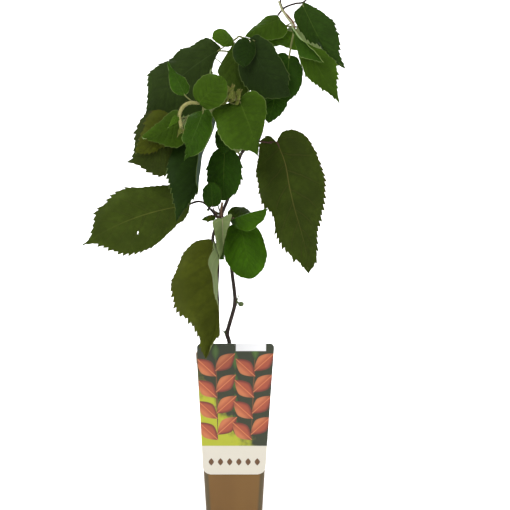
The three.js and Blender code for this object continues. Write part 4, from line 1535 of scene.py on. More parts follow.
@dataclass(frozen=True)
class Mass:
    """One mass of foliage: a short stem of its own and the leaves that grow from it.

    The stem starts beside a limb, looking to a place and seated for a radius, or where there is
    no such place, beyond the limb's tip. Second is the way of a second stalk beside the stem.
    Skins are those of the stem, the petioles and the second stalk, and young for those not named.
    """

    node: str
    limb: str
    towards: Place | None
    seat: float
    way: Sequence[Place]
    leaves: Sequence[Leaf] = ()
    radii: Sequence[float] = (SHOOT, 1.0)
    skins: Sequence[Skin] = ()
    second: Sequence[Place] = ()

    def stem(self, limbs: Limbs) -> Limb:
        """Lays out the mass's own stem.

        Args:
            limbs: the plant's limbs.

        Returns:
            The stem.
        """
        limb = limbs[self.limb]
        start = limb.besides(seen(self.towards), self.seat) if self.towards else limb.beyond()
        return Limb([*start, *seen_all(self.way)], self.radii)


LOW_FOLDED = Lie(-10, 20, -0.03, fold=(8, -104), tip_fold=(8, -72), curl=(14, 4), lift=0)
LEFT_FOLDED = Lie(-10, 20, -0.04, fold=(10, -100), tip_fold=(10, 10), curl=(14, 10))
TOP_FOLDED = Lie(bend=16, fold=(12, -104), tip_fold=(12, -60), curl=(10, 10))
UPRIGHT = Lie(roll=172, bend=20, fold=(58, 30), curl=(20, 10))

LOW = Mass("foliage_low", "main_stem", (-20, 360, -6), 1.5, [(-17, 361, -7), (-14, 362, -13)], [
    leaf(Shape.FULL, (-57, 377, -12), (-175, 332, -26), 78, (-17, 361, -7), Tone.DUSKY,
         Lie(4, 22, 0.05, lift=0.6), hole=(-110.9, 344.0), sight=Sight.LONG_LEFT, stalk=1.5),
    leaf(Shape.OVATE, (-27, 338, -20), (-33, 201, -62), 97, (-15, 361, -11), Tone.OLIVE,
         LOW_FOLDED, sight=Sight.HANGING, stalk=2.1),
    leaf(Shape.OVATE, (-14, 362, -18), (-12, 315, -34), 36, (-14, 362, -12), Tone.GREEN,
         UPRIGHT, 0.3, sight=Sight.WEDGE),
    leaf(Shape.OVAL, (6, 359, -10), (19, 293, -24), 51, (-14, 362, -12), Tone.BRIGHT,
         Lie(-6, 22), 0.25),
    leaf(Shape.OVAL, (-4, 360, -18), (39, 374, -52), 34, (-14, 362, -12), Tone.BRIGHT,
         Lie(-30, 18), 0.25, sight=Sight.LOW_RIGHT),
    leaf(Shape.OVAL, (-8, 365, -2), (22, 366, 16), 34, (-16, 361, -8), Tone.SHADED,
         Lie(-5, 24, lift=0.2), 0.3, sight=Sight.LOW_BEHIND),
    leaf(Shape.OVATE, (-22, 364, -14), (-38, 360.5, -16), 8, (-16, 361, -8), Tone.MID,
         Lie(20, 40), 0.3),
    leaf(Shape.OVATE, (-25, 366, -15), (-32, 358, -17), 6, (-16, 361, -8), Tone.OLIVE,
         Lie(-30, 40), 0.3),
    leaf(Shape.OVATE, (10, 354, 16), (24, 304, 38), 36, (-14, 362, -4), Tone.SHADED,
         Lie(bend=24, face=AWAY), 0.6),
    leaf(Shape.ROUND, (-25, 376, -31), (-27, 404, -42), 23, (-16, 361, -9), Tone.DEEP,
         Lie(-4, 16), 0.5),
], (1.6, 1.3), (Skin.RED, Skin.BARK, Skin.BARK, Skin.PALE, *[Skin.RED] * 7))

MIDDLE = Mass("foliage_middle", "main_stem", (0, 440, -4), 1.2, [(-2, 449, -6), (-8, 456, -10)], [
    leaf(Shape.OVAL, (-11, 444, -26), (-13, 383, -21), 43, (-7, 455, -9), Tone.DEEP, Lie(8, 24)),
    leaf(Shape.OVATE, (-9, 468, -34), (-13.5, 436, -37), 26, (-7, 455, -9), Tone.DEEP,
         Lie(10, 16), 0.6),
])

RIGHT = Mass("foliage_right", "main_stem", (30, 450, -12), 1.2, [(36, 450, -12), (43, 449, -13)], [
    leaf(Shape.LONG, (54, 446, -14), (87, 296, -34), 80, (40, 450, -12.5), Tone.RUSSET,
         Lie(-6, 22, -0.02, lift=0.2), 1.1, sight=Sight.LONG_RIGHT),
], skins=(Skin.RED, Skin.RED))

SHOOT_TIP = Mass("foliage_shoot_tip", "left_shoot", None, 0, [
    (-14, 499, -51), (-28, 495.5, -53), (-40, 495, -55), (-51, 495.5, -58), (-59, 491, -61),
    (-63.3, 481, -63), (-61.5, 469, -63), (-60, 461, -62),
], [
    leaf(Shape.HEART, (-1, 494, -56), (28, 432, -70), 69, (-10, 500, -49.5), Tone.MID,
         Lie(4, 22, 0.04, lift=0.3), 0.45, sight=Sight.HEART_CENTRE),
    leaf(Shape.ROUND, (-41, 495.5, -62), (-12, 524, -72), 39, (-42, 495, -55), Tone.MID,
         Lie(6, 30), 0.5),
    leaf(Shape.YOUNG, (-57, 504, -60), (-77, 544, -62), 21, (-46, 495, -56), Tone.FRESH,
         Lie(10, 16), sight=Sight.DRIP),
    leaf(Shape.HEART, (-36, 485, -62), (-58, 429, -78), 40, (-38, 495, -54), Tone.FRESH,
         Lie(-6, 22), 0.3, sight=Sight.HEART_TIP),
    leaf(Shape.YOUNG, (-65, 480, -65), (-77, 466, -68), 8, (-63, 482, -63), Tone.LIME, Lie(0, 16)),
    leaf(Shape.YOUNG, (-61, 466, -66), (-66, 456, -69), 5, (-61.5, 469, -63), Tone.DOWNY,
         Lie(0, 20)),
    leaf(Shape.YOUNG, (-59, 465, -66), (-55, 454, -68), 5, (-61, 468, -63), Tone.DOWNY, Lie(0, 20)),
    leaf(Shape.YOUNG, (-6, 505, -58), (-2, 517, -62), 12, (-14, 499, -51), Tone.DOWNY, Lie(60, 30)),
    leaf(Shape.YOUNG, (2, 499, -60), (9, 511, -60), 9, (-9, 500, -49), Tone.DOWNY, Lie(-50, 30)),
    # The small folded leaves that crowd where the left shoot ends.
    *(
        leaf(Shape.OVATE, (x, z, y), (x + dx, z + dz, y - 3), width, (-10, 499, -50), Tone.DOWNY,
             Lie(roll, 40, fold=(24, 20), curl=(26, 26)), 0.4)
        for x, z, y, dx, dz, width, roll in (
            (-10, 494, -54, -6, 10, 11, 20), (-5, 496, -58, 3, 15, 10, -30),
            (-12, 502, -56, -4, 11, 9, 50), (0, 494, -57, 6, 8, 10, -60),
            (-4, 502, -63, -4, 13, 10, 10), (-8, 501, -64, 6, 9, 9, -15),
            (1, 500, -62, -5, 12, 10, 35), (-13, 497, -60, 7, 6, 9, -40),
            (-5, 505, -62, 5, 11, 9, 70), (-2, 495, -52, -3, 16, 13, 5),
            (-9, 505, -60, -5, 9, 8, 25), (1, 504, -60, 5, 7, 8, -25),
        )
    ),
], (1.1, 1.7, 2.0, 1.6), (Skin.DOWN,))

LEFT = Mass("foliage_left", "lower_left_shoot", None, 0, [
    (-36, 482, -10), (-47, 480, -18), (-56, 478, -26),
], [
    leaf(Shape.OVATE, (-60, 472, -38), (-104, 453, -50), 38, (-55, 478, -25), Tone.MID,
         Lie(-4, 18), 0.6, sight=Sight.LAYER_TOP),
    leaf(Shape.OVATE, (-63, 476, -30), (-114, 437, -40), 42, (-51, 479, -22), Tone.GOLDEN,
         Lie(0, 18), sight=Sight.LAYER_MID),
    leaf(Shape.OVATE, (-68, 471, -22), (-124, 427, -30), 68, (-45, 480, -16), Tone.UMBER,
         Lie(6, 20, -0.13), sight=Sight.LAYER_LOW),
    leaf(Shape.OVATE, (-36, 466, -12), (-67, 357, -44), 50, (-34, 483, -8), Tone.INKY,
         LEFT_FOLDED, 0.7, sight=Sight.LAYER_DARK),
])

UPPER_LEFT = Mass("foliage_upper_left", "upper_left_shoot", None, 0, [
    (3, 570, -3), (-3, 566, -6),
], [
    leaf(Shape.BROAD, (-16, 557, -4), (-103, 478, 4), 80, (-2, 566, -5), Tone.SLATE,
         Lie(8, 20, 0.05), sight=Sight.BROAD_LEFT),
    leaf(Shape.OVATE, (0, 562, -14), (0, 500, -26), 36, (-2, 566, -6), Tone.SHADED,
         Lie(-10, 22), 0.5, sight=Sight.BEHIND_CENTRE),
    leaf(Shape.OVATE, (-1, 567, -10), (-26.5, 570.5, -18), 18, (1, 568, -4), Tone.LIME,
         Lie(8, 24), 0.4, sight=Sight.UPPER_SMALL),
])

CENTRE = Mass("foliage_centre", "main_stem", (34, 556, -9), 1.2, [(31, 560, -16), (27, 562, -24)], [
    leaf(Shape.ROUND, (20, 562, -32), (65, 504, -38), 59, (28, 562, -23), Tone.SMOKY,
         Lie(4, 22, 0.09), 0.5, sight=Sight.ROUND_CENTRE),
    leaf(Shape.ROUND, (18, 566, -40), (11, 536, -46), 27, (28, 562, -23), Tone.INKY,
         Lie(-8, 26), 0.3, sight=Sight.ROUND_LOBE),
])

UPPER = Mass("foliage_upper", "main_stem", (46, 586, -6), 1, [(50, 585, -8), (56, 580, -10)], [
    leaf(Shape.BROAD, (52, 592, -8), (13, 571, -16), 33, (50, 585, -8), Tone.MID,
         Lie(10, 30), 0.4, sight=Sight.UPPER_BACK),
    leaf(Shape.OVATE, (74, 572, 0), (38, 560, -9), 26, (56, 580, -10), Tone.LIME,
         Lie(-10, 20), 0.4, sight=Sight.UPPER_FRONT),
])

LOW_CENTRE = Mass("foliage_low_centre", "main_stem", (44, 524, -6), 1, [
    (46, 519, -6), (49, 516, -6),
], [
    leaf(Shape.OVATE, (50, 512, -7), (38.5, 472, -12), 31, (48, 517, -6), Tone.DEEP,
         Lie(4, 20), 0.7),
])

TOP = Mass("foliage_top", "top_arc", None, 0, [(61, 596, -16), (68, 587, -17), (69.3, 580, -18)], [
    leaf(Shape.OVATE, (78, 566, -27), (121, 494, -34), 39, (69, 581, -18), Tone.MID,
         Lie(6, 22), 0.7, sight=Sight.RIGHT_LOWER),
    leaf(Shape.OVATE, (70, 579, -28), (102.5, 542, -46), 24, (69.3, 580, -18), Tone.FRESH,
         TOP_FOLDED, 0.4, sight=Sight.STRIPED),
    leaf(Shape.HEART, (63, 549, -20), (58, 496, -26), 44, (69, 580, -18), Tone.DEEP,
         Lie(bend=22, lift=0), 0.5, sight=Sight.CENTRE_RIGHT, stalk=1.5),
], skins=(Skin.TAN, Skin.YOUNG, Skin.YOUNG, Skin.YOUNG, Skin.PALE), second=[
    (51, 612, -15), (54.5, 603, -19), (60, 594, -20), (66, 586, -21), (67, 581, -21),
])

RIGHT_TOP = Mass("foliage_right_top", "top_arc", (82, 605, -9), 1, [(81, 606, -8), (82, 603, -9)], [
    leaf(Shape.OVATE, (80, 602.5, -10.5), (129, 533, -14), 47, (81, 606, -8), Tone.GREEN,
         Lie(6, 24, 0.08, lift=0), 0.7, sight=Sight.RIGHT_TOP),
], (1, 0.9))

LEADER = Mass("foliage_leader", "top_arc", (92, 620, 2), 1, [
    (92, 627, 2), (97, 637, 3), (99, 645, 1),
], [
    leaf(Shape.YOUNG, (104, 634, -3), (126, 626, -12), 18, (97, 636, 3), Tone.FRESH, Lie(0, 24)),
    leaf(Shape.YOUNG, (99, 648, 5), (104, 662, 14), 9, (98.5, 643, 2), Tone.DOWNY, Lie(20, 20)),
])


@dataclass(frozen=True)
class BackRule:
    """The seeded rule by which leaves grow at the back, inside a space of their own."""

    mass: Mass
    lowest: Place
    highest: Place
    seed: int
    most: int
    longest: float
    tries: int = 400
    stem_clearance: float = 5.0
    golden_turn: float = math.radians(137.5)
    sky: tuple[tuple[int, int, int, int], ...] = ((-36, -19, 432, 459), (-25, -11, 537, 554))

    def grown(self, limbs: Limbs) -> Mass:
        """Grows the leaves along the mass's stem.

        Args:
            limbs: the plant's limbs; the leaves keep clear of the main stem.

        Returns:
            The mass with its leaves.
        """
        random = seeded_random(self.seed).__next__
        line = self.mass.stem(limbs).line
        trunk = limbs["main_stem"].line.at(np.arange(61) / 60)
        grown: list[Leaf] = []
        for i in range(self.tries):
            if len(grown) >= self.most:
                break
            origin = line.at(0.3 + 0.7 * random())
            turn = i * self.golden_turn + random() * 0.6
            out = unit([math.cos(turn), 0.35 + 0.4 * random(), math.sin(turn) * 0.6])
            length = self.longest * (0.62 + 0.38 * random())
            base = origin + out * length * (0.22 + 0.2 * random())
            fall = unit([out[0] * 0.9, 0.25 + 0.3 * random(), -0.65 - 0.35 * random()])
            shape = Shape.HEART if random() < 0.4 else Shape.OVATE
            width = length * (0.58 + 0.14 * random())
            lie = Lie(bend=20 + 14 * random(), face=(out[0] * 0.4, 1, 0.55))
            tones = (Tone.GREEN, Tone.MID, Tone.SHADED, Tone.DEEP, Tone.DUSKY)
            tone = tones[len(grown) % len(tones)]
            candidate = Leaf(shape, base, base + fall * length, width, origin, tone, lie, 0.8)
            if self.stands_apart(candidate, grown) and self.keeps_clear(candidate, trunk):
                grown.append(candidate)
        return replace(self.mass, leaves=[self.aside(one) for one in grown])

    def stands_apart(self, candidate: Leaf, grown: Sequence[Leaf]) -> bool:
        """Says whether a leaf's middle is far from those of the leaves before it."""
        middles = [one.surface(np.zeros(1), np.full(1, 0.7))[0] for one in (candidate, *grown)]
        return all(np.linalg.norm(m - middles[0]) > self.longest * 0.42 for m in middles[1:])

    def aside(self, grown: Leaf) -> Leaf:
        """Moves a leaf the least way that opens the gaps where the sky shows.

        Args:
            grown: the leaf.

        Returns:
            The leaf in its new place, or as it was if no move opens them.
        """
        moves = [(x, 0, z) for x in range(-42, 43, 6) for z in range(-36, 37, 6)]
        steps = np.array(moves, float)
        for move in steps[np.argsort(np.linalg.norm(steps, axis=1), kind="stable")]:
            tried = replace(grown, base=grown.base + move, tip=grown.tip + move)
            if not self.fills(tried):
                return tried
        return grown

    def fills(self, grown: Leaf) -> bool:
        """Says whether a leaf is seen through a gap that shows the sky.

        Args:
            grown: the leaf.

        Returns:
            True if any of it is in a gap.
        """
        across, r = np.meshgrid(np.linspace(-1, 1, 13), np.linspace(0, 1, 25))
        x, z = as_seen(grown.surface(across.ravel(), r.ravel())).T
        return any(
            np.any((x > low) & (x < high) & (z > foot) & (z < head))
            for low, high, foot, head in self.sky
        )

    def keeps_clear(self, candidate: Leaf, trunk: Array) -> bool:
        """Says whether a leaf stays in its space and off the main stem.

        Args:
            candidate: the leaf.
            trunk: places along the main stem.

        Returns:
            True if it does.
        """
        r = np.repeat([0.15, 0.35, 0.6, 0.85, 1], 3)
        rim = candidate.surface(np.tile([-1.0, 1.0, 0.0], 5), r)
        inside = np.all((rim >= self.lowest) & (rim <= self.highest))
        gaps = np.linalg.norm(rim[:, None] - trunk[None], axis=2).min(axis=1)
        return bool(inside and np.all(gaps > self.stem_clearance))


BACK = tuple(
    BackRule(Mass("foliage_back_" + name, limb, towards, 1.1, way), *rule)
    for name, limb, towards, way, rule in (
        ("middle", "main_stem", (28, 494, 24), [(14, 498, 36), (-12, 492, 52), (-46, 484, 60)],
         ((-92, 26, 424), (30, 112, 516), 11, 5, 78)),
        ("upper", "back_shoot", None, [(4, 552, 44), (-18, 555, 52), (-46, 548, 56)],
         ((-80, 22, 500), (60, 112, 570), 23, 4, 72)),
        ("low", "main_stem", (2, 424, 20), [(-2, 434, 24), (-8, 442, 34), (-14, 444, 46)],
         ((-33, 12, 384), (3, 92, 452), 7, 3, 76)),
        ("right", "main_stem", (48, 588, 12), [(58, 584, 26), (76, 582, 38), (96, 576, 46)],
         ((72, 16, 512), (118, 100, 598), 31, 3, 76)),
    )
)


# The pieces


@dataclass
class Pot:
    """The tall square pot: a thin tapered shell with a band round its rim and drain holes."""

    segments: int = 7
    lip: float = 0.35

    def build(self) -> None:
        """Models the pot and dresses it."""
        pot = added(bpy.ops.mesh.primitive_cube_add, "pot", size=1)
        step, proud, wall = POT_HEIGHT - RIM_BAND, 2 * RIM_PROUD, 2 * POT_WALL
        rings = [
            (0, POT_BASE), (step, pot_width(step)), (step + RIM_STEP, pot_width(step) + proud),
            (POT_HEIGHT, POT_RIM + proud - 0.6), (POT_HEIGHT, POT_RIM - wall),
            (POT_FLOOR, pot_width(POT_FLOOR) - wall),
        ]
        mesh = bmesh.new()
        loops = [
            [mesh.verts.new((x * w / 2 * MM, y * w / 2 * MM, z * MM)) for x, y in corners]
            for z, w in rings
            for corners in [((-1, -1), (1, -1), (1, 1), (-1, 1))]
        ]
        for low, high in zip(loops, loops[1:]):
            for i in range(4):
                mesh.faces.new((low[i], low[(i + 1) % 4], high[(i + 1) % 4], high[i]))
        mesh.faces.new(loops[0][::-1])
        mesh.faces.new(loops[-1])
        mesh.to_mesh(pot.data)
        mesh.free()
        self.round_edges(pot)
        for x in (-DRAIN_SPACING, DRAIN_SPACING):
            for y in (-DRAIN_SPACING, DRAIN_SPACING):
                self.drain(pot, x, y)
        dressed(pot, "pot_plastic", ["pot"], PlasticFinish().material(), angle=32)

    def round_edges(self, pot: Piece) -> None:
        """Rounds the upright edges, then breaks the rim's and the foot's edges.

        Args:
            pot: the plain shell.
        """
        size = {"offset": POT_CORNER * MM * 0.9, "segments": self.segments}
        picked(
            pot, lambda ends: np.all(np.sign(ends[0, :2]) == np.sign(ends[1, :2])),
            lambda: bpy.ops.mesh.bevel(affect="EDGES", **size),
        )
        angle = {"limit_method": "ANGLE", "angle_limit": math.radians(35)}
        modified(pot, "BEVEL", width=self.lip * MM, segments=2, **angle)

    def drain(self, pot: Piece, x: float, y: float) -> None:
        """Cuts one drain hole through the floor.

        Args:
            pot: the shell.
            x, y: where the hole is.
        """
        size = {"vertices": 28, "radius": DRAIN_RADIUS * MM, "depth": 8 * MM}
        place = (x * MM, y * MM, 0)
        cutter = added(bpy.ops.mesh.primitive_cylinder_add, "drain", location=place, **size)
        modified(pot, "BOOLEAN", operation="DIFFERENCE", object=cutter, solver="EXACT")
        bpy.data.objects.remove(cutter)


@dataclass
class Compost:
    """The compost: an uneven block that fills the pot, with loose crumbs and pale grains on top."""

    crumbs: int = 620
    grains: int = 34
    cuts: int = 26
    random: Random = field(default_factory=lambda: np.random.default_rng(4))

    def half(self, z: float) -> float:
        """Gives half the width of the inside of the pot at a height."""
        return pot_width(z) / 2 - POT_WALL - GAP

    def build(self) -> None:
        """Models the compost, its crumbs and its grains, and dresses them."""
        earth = EarthFinish("compost", linear(30, 22, 17), linear(70, 52, 38)).material()
        pale = EarthFinish("compost_grain", linear(190, 184, 170), linear(226, 222, 210)).material()
        bed = self.bed()
        crumbs = self.strewn("compost_crumbs", self.crumbs, 2.1)
        grains = self.strewn("compost_grains", self.grains, 1.2)
        for piece, material, angle in ((bed, earth, 60), (crumbs, earth, 40), (grains, pale, 40)):
            dressed(piece, "soil", ["soil"], material, angle=angle)

    def bed(self) -> Piece:
        """Makes the block, with rounded corners and an uneven top.

        Returns:
            The piece.
        """
        bed = added(bpy.ops.mesh.primitive_cube_add, "compost", size=2)
        edited(bed, lambda: bpy.ops.mesh.subdivide(number_cuts=self.cuts))
        places = vertex_places(bed)
        low, high = POT_FLOOR + GAP, SOIL_LEVEL
        z = low + (places[:, 2] + 1) / 2 * (high - low)
        half = self.half(z)
        radius = (POT_CORNER - POT_WALL) / half
        square, inner = places[:, :2], (1 - radius)[:, None]
        over = np.maximum(np.abs(square) - inner, 0)
        reach = np.linalg.norm(over, axis=1)
        shrink = np.where(reach > radius, radius / np.maximum(reach, 1e-9), 1)[:, None]
        square = np.sign(square) * (np.minimum(np.abs(square), inner) + over * shrink)
        made = np.c_[square * half[:, None], z]
        x, y, top = made[:, 0], made[:, 1], places[:, 2] > 0.999
        lumps = np.sin(x * 0.31 + 1) * np.sin(y * 0.27) + 0.6 * np.sin(x * 0.9 + y * 1.1)
        made[top, 2] += lumps[top] * 0.9 - 1.0
        move_vertices(bed, made * MM)
        return bed

    def strewn(self, name: str, count: int, large: float) -> Piece:
        """Strews small lumps over the top.

        Args:
            name: the piece's name.
            count: how many lumps there are.
            large: the radius of the largest.

        Returns:
            The piece.
        """
        small, clear, sunk, random = 0.6, 5, 1, self.random
        lump = added(bpy.ops.mesh.primitive_ico_sphere_add, "lump", subdivisions=2, radius=1)
        places = vertex_places(lump)
        bumps = np.sin(places @ np.array([[5.1], [4.3], [3.7]]))
        places *= 1 + 0.22 * bumps * np.cos(places @ np.array([[3.1], [-6.2], [4.9]]))
        move_vertices(lump, places)
        reach = self.half(SOIL_LEVEL) - 4
        frames = []
        for _ in range(count):
            size = small + (large - small) * random.random() ** 2.2
            x, y = random.uniform(-reach, reach, 2)
            if math.hypot(x + clear, y) < clear + size:
                continue
            place = np.array([x, y, SOIL_LEVEL - sunk + size * 0.25]) * MM
            scale = size * MM * random.uniform(0.7, 1.2, 3)
            frames.append(frame_along(place, random.normal(size=3), scale))
        return scattered(name, lump, frames)


@dataclass
class Card:
    """The picture card: a stiff printed panel with a tongue that hooks over the pot's rim."""

    rows: int = 30
    corner_steps: int = 8
    bow: float = 0.5

    def build(self) -> None:
        """Models the card and dresses it."""
        card = joined("picture_card", [self.panel(), self.tongue()])
        back = PlainFinish("card_back", linear(232, 230, 224), 0.35)
        for finish in (PrintFinish(), back):
            card.data.materials.append(finish.material())
        for polygon in card.data.polygons:
            outside = polygon.center.y < self.front(polygon.center.z / MM) * MM
            polygon.material_index = 0 if polygon.normal.y < -0.7 and outside else 1
        dressed(card, "card", ["picture_card"], angle=35)

    def front(self, z: Array | float) -> Array | float:
        """Gives the pot's front face at a height."""
        return -pot_width(z) / 2

    def panel(self) -> Piece:
        """Makes the panel: a plane, tapered, with its corners rounded and its wall thickened.

        Returns:
            The panel.
        """
        panel = added(bpy.ops.mesh.primitive_plane_add, "panel", size=1)
        places = vertex_places(panel)
        top = places[:, 1] > 0
        half = np.where(top, CARD_TOP_WIDTH, CARD_BOTTOM_WIDTH) / 2
        z = np.where(top, CARD_TOP, CARD_BOTTOM)
        move_vertices(panel, np.c_[np.sign(places[:, 0]) * half, np.zeros(4), z] * MM)
        middle, tall = (CARD_TOP + CARD_BOTTOM) / 2 * MM, CARD_TOP - CARD_BOTTOM
        for upper, radius in ((True, CARD_TOP_RADIUS), (False, CARD_BOTTOM_RADIUS)):
            size = {"offset": radius * MM, "segments": self.corner_steps}
            picked(
                panel, lambda ends: np.all((ends[:, 2] > middle) == upper),
                lambda: bpy.ops.mesh.bevel(affect="VERTICES", **size),
            )

        def sliced() -> None:
            """Cuts the panel into level strips, so that it can follow the pot's side."""
            for i in range(1, self.rows):
                height = CARD_BOTTOM + tall * i / self.rows
                bpy.ops.mesh.select_all(action="SELECT")
                bpy.ops.mesh.bisect(plane_co=(0, 0, height * MM), plane_no=(0, 0, 1))

        edited(panel, sliced)
        places = vertex_places(panel)
        x, z = places[:, 0] / MM, places[:, 2] / MM
        up = (z - CARD_BOTTOM) / tall
        set_uv(panel, np.c_[x / CARD_TOP_WIDTH + 0.5, up])
        places[:, 1] = (self.front(z) - GAP - self.bow * np.sin(np.pi * up)) * MM
        bottom = z < CARD_BOTTOM + 0.01
        places[bottom, 2] -= 1.0 * MM * np.cos(x[bottom] / CARD_BOTTOM_WIDTH * math.pi)
        places[:, 0] += CARD_SHIFT * MM * up
        move_vertices(panel, places)
        if panel.data.polygons[0].normal.y > 0:
            edited(panel, bpy.ops.mesh.flip_normals)
        return modified(panel, "SOLIDIFY", thickness=CARD_THICKNESS * MM, offset=1)

    def tongue(self) -> Piece:
        """Makes the tongue: a strip that runs back over the rim and down inside the pot.

        Returns:
            The tongue.
        """
        half = CARD_THICKNESS / 2
        inside = POT_WALL + GAP + half
        inner, foot = self.front(POT_HEIGHT) + inside, self.front(TONGUE_FOOT) + inside
        top, outer = CARD_TOP - 0.2 - half, self.front(CARD_TOP) - GAP - half
        profile = Line([np.array([0, y, z]) for y, z in (
            (outer, top - 1.2), (outer + 0.5, top - 0.1), (outer + 1.5, top), (inner - 1.2, top),
            (inner - 0.2, top - 0.4), (inner, top - 2), (inner, POT_HEIGHT), (foot, TONGUE_FOOT),
        )])
        strip, across, along = grid("tongue", 10, 44)
        places = profile.at(along)
        taper = 1 - 0.12 * smoothstep(along, 0.5, 1)
        places[:, 0] = across * TONGUE_WIDTH / 2 * taper
        move_vertices(strip, places * MM)
        set_uv(strip, np.c_[across * 0.2 + 0.5, along * 0.1 + 0.95])
        return modified(strip, "SOLIDIFY", thickness=CARD_THICKNESS * MM, offset=0)


@dataclass
class Stems:
    """The woody stems with bark relief, their buds and the side shoots."""

    limbs: Limbs
    coats: Coats
    joints: tuple[float, ...] = (231, 266, 357, 366, 452, 494, 530, 566)
    flare: float = 1.1
    swelling: float = 0.45

    def build(self) -> None:
        """Models the stems, buds and spurs and dresses them."""
        facets = {"main_stem": (20, 420), "top_arc": (14, 150)}
        for node, limb in self.limbs.items():
            radius = self.main_radius if node == "main_stem" else limb.radius
            stem = rod(node, limb.line, radius, *facets.get(node, (12, 60)), self.bark_relief)
            slot, skin = ("bark", Skin.BARK) if node in facets else ("young_stem", Skin.YOUNG)
            dressed(stem, slot, [node], self.coats[skin])
        for name, grow, skin in (("buds", self.buds, Skin.BUD), ("spurs", self.spurs, Skin.TAN)):
            dressed(joined(name, grow()), "young_stem", ["main_stem"], self.coats[skin])

    def main_radius(self, share: Array) -> Array:
        """Gives the main stem's radius, with its root flare and swollen joints.

        Args:
            share: shares of its length.

        Returns:
            The radius at each.
        """
        main = self.limbs["main_stem"]
        height = main.line.at(share)[:, 2]
        made = main.radius(share)
        made = made + self.flare * (1 - smoothstep(height - SOIL_LEVEL, 0, FLARE_HEIGHT)) ** 2
        for joint in self.joints:
            made = made + self.swelling * np.exp(-(((height - joint) / 3.2) ** 2))
        return made

    def bark_relief(self, turn: Array, share: Array) -> Array:
        """Gives lengthwise ridges that wander as they climb, and fine unevenness."""
        knots = np.sin(turn * 3 + share * 160) * np.sin(share * 410 + turn) * 0.05
        return np.sin(turn * 7 + 9 * np.sin(share * 17)) * 0.05 + knots

    def buds(self) -> list[Piece]:
        """Makes the buds, scales and small leaf stumps on the main stem.

        Returns:
            The parts.
        """
        buds = (
            ((3.5, 266, -4), 1.6, 1), ((7.5, 264, -5), 3.3, 0.9), ((-10.5, 231.5, -1), 1.6, 1.3),
            ((63.8, 580.3, -20), 2.6, 0.9), ((-30.2, 372.5, -5), 1.5, 1.2),
        )
        stumps = (
            ((1.0, 0.3), (2, 266, -2), (4, 271, -4), (5.5, 276, -5)),
            ((1.6, 1.1), (-15, 366, 1), (-22, 370, -2), (-27, 373, -3)),
            ((1.4, 0.5), (-15, 366, 1), (-18, 374, -1), (-19.5, 380, -2)),
            ((0.9, 0.3), (-9, 231, -1), (-13, 233, -2), (-15, 236, -3)),
        )
        return [*(self.bud(*one) for one in buds), *(self.stump(*one) for one in stumps)]

    def spurs(self) -> list[Piece]:
        """Makes the short woody side growth at the lower joint."""
        first = self.stump((2.0, 1.3), (-16, 364, -3), (-15.5, 372, -5), (-14, 381, -6))
        return [first, self.stump((1.9, 1.2), (-18, 364, -4), (-23, 365, -6), (-28, 361, -8))]

    def bud(self, place: Place, radius: float, stretch: float) -> Piece:
        """Makes one bud of overlapping scales.

        Args:
            place: its middle, as seen.
            radius: its radius.
            stretch: its height beside its width.

        Returns:
            The bud.
        """
        facets = {"segments": 24, "ring_count": 16}
        ball = added(bpy.ops.mesh.primitive_uv_sphere_add, "bud", radius=1, **facets)
        places = vertex_places(ball)
        turn, z = np.arctan2(places[:, 1], places[:, 0]), places[:, 2]
        scales = 1 + 0.07 * np.sin(turn * 5 + z * 4) - 0.12 * np.clip(z, 0, 1) ** 2
        places[:, :2] *= scales[:, None]
        places[:, 2] *= stretch
        move_vertices(ball, (places * radius + seen(place)) * MM)
        return ball

    def stump(self, radii: tuple[float, float], *places: Place) -> Piece:
        """Makes a short tapering stump through places as seen."""
        return Limb(seen_all(places), radii).tube("stump", 8, 12)


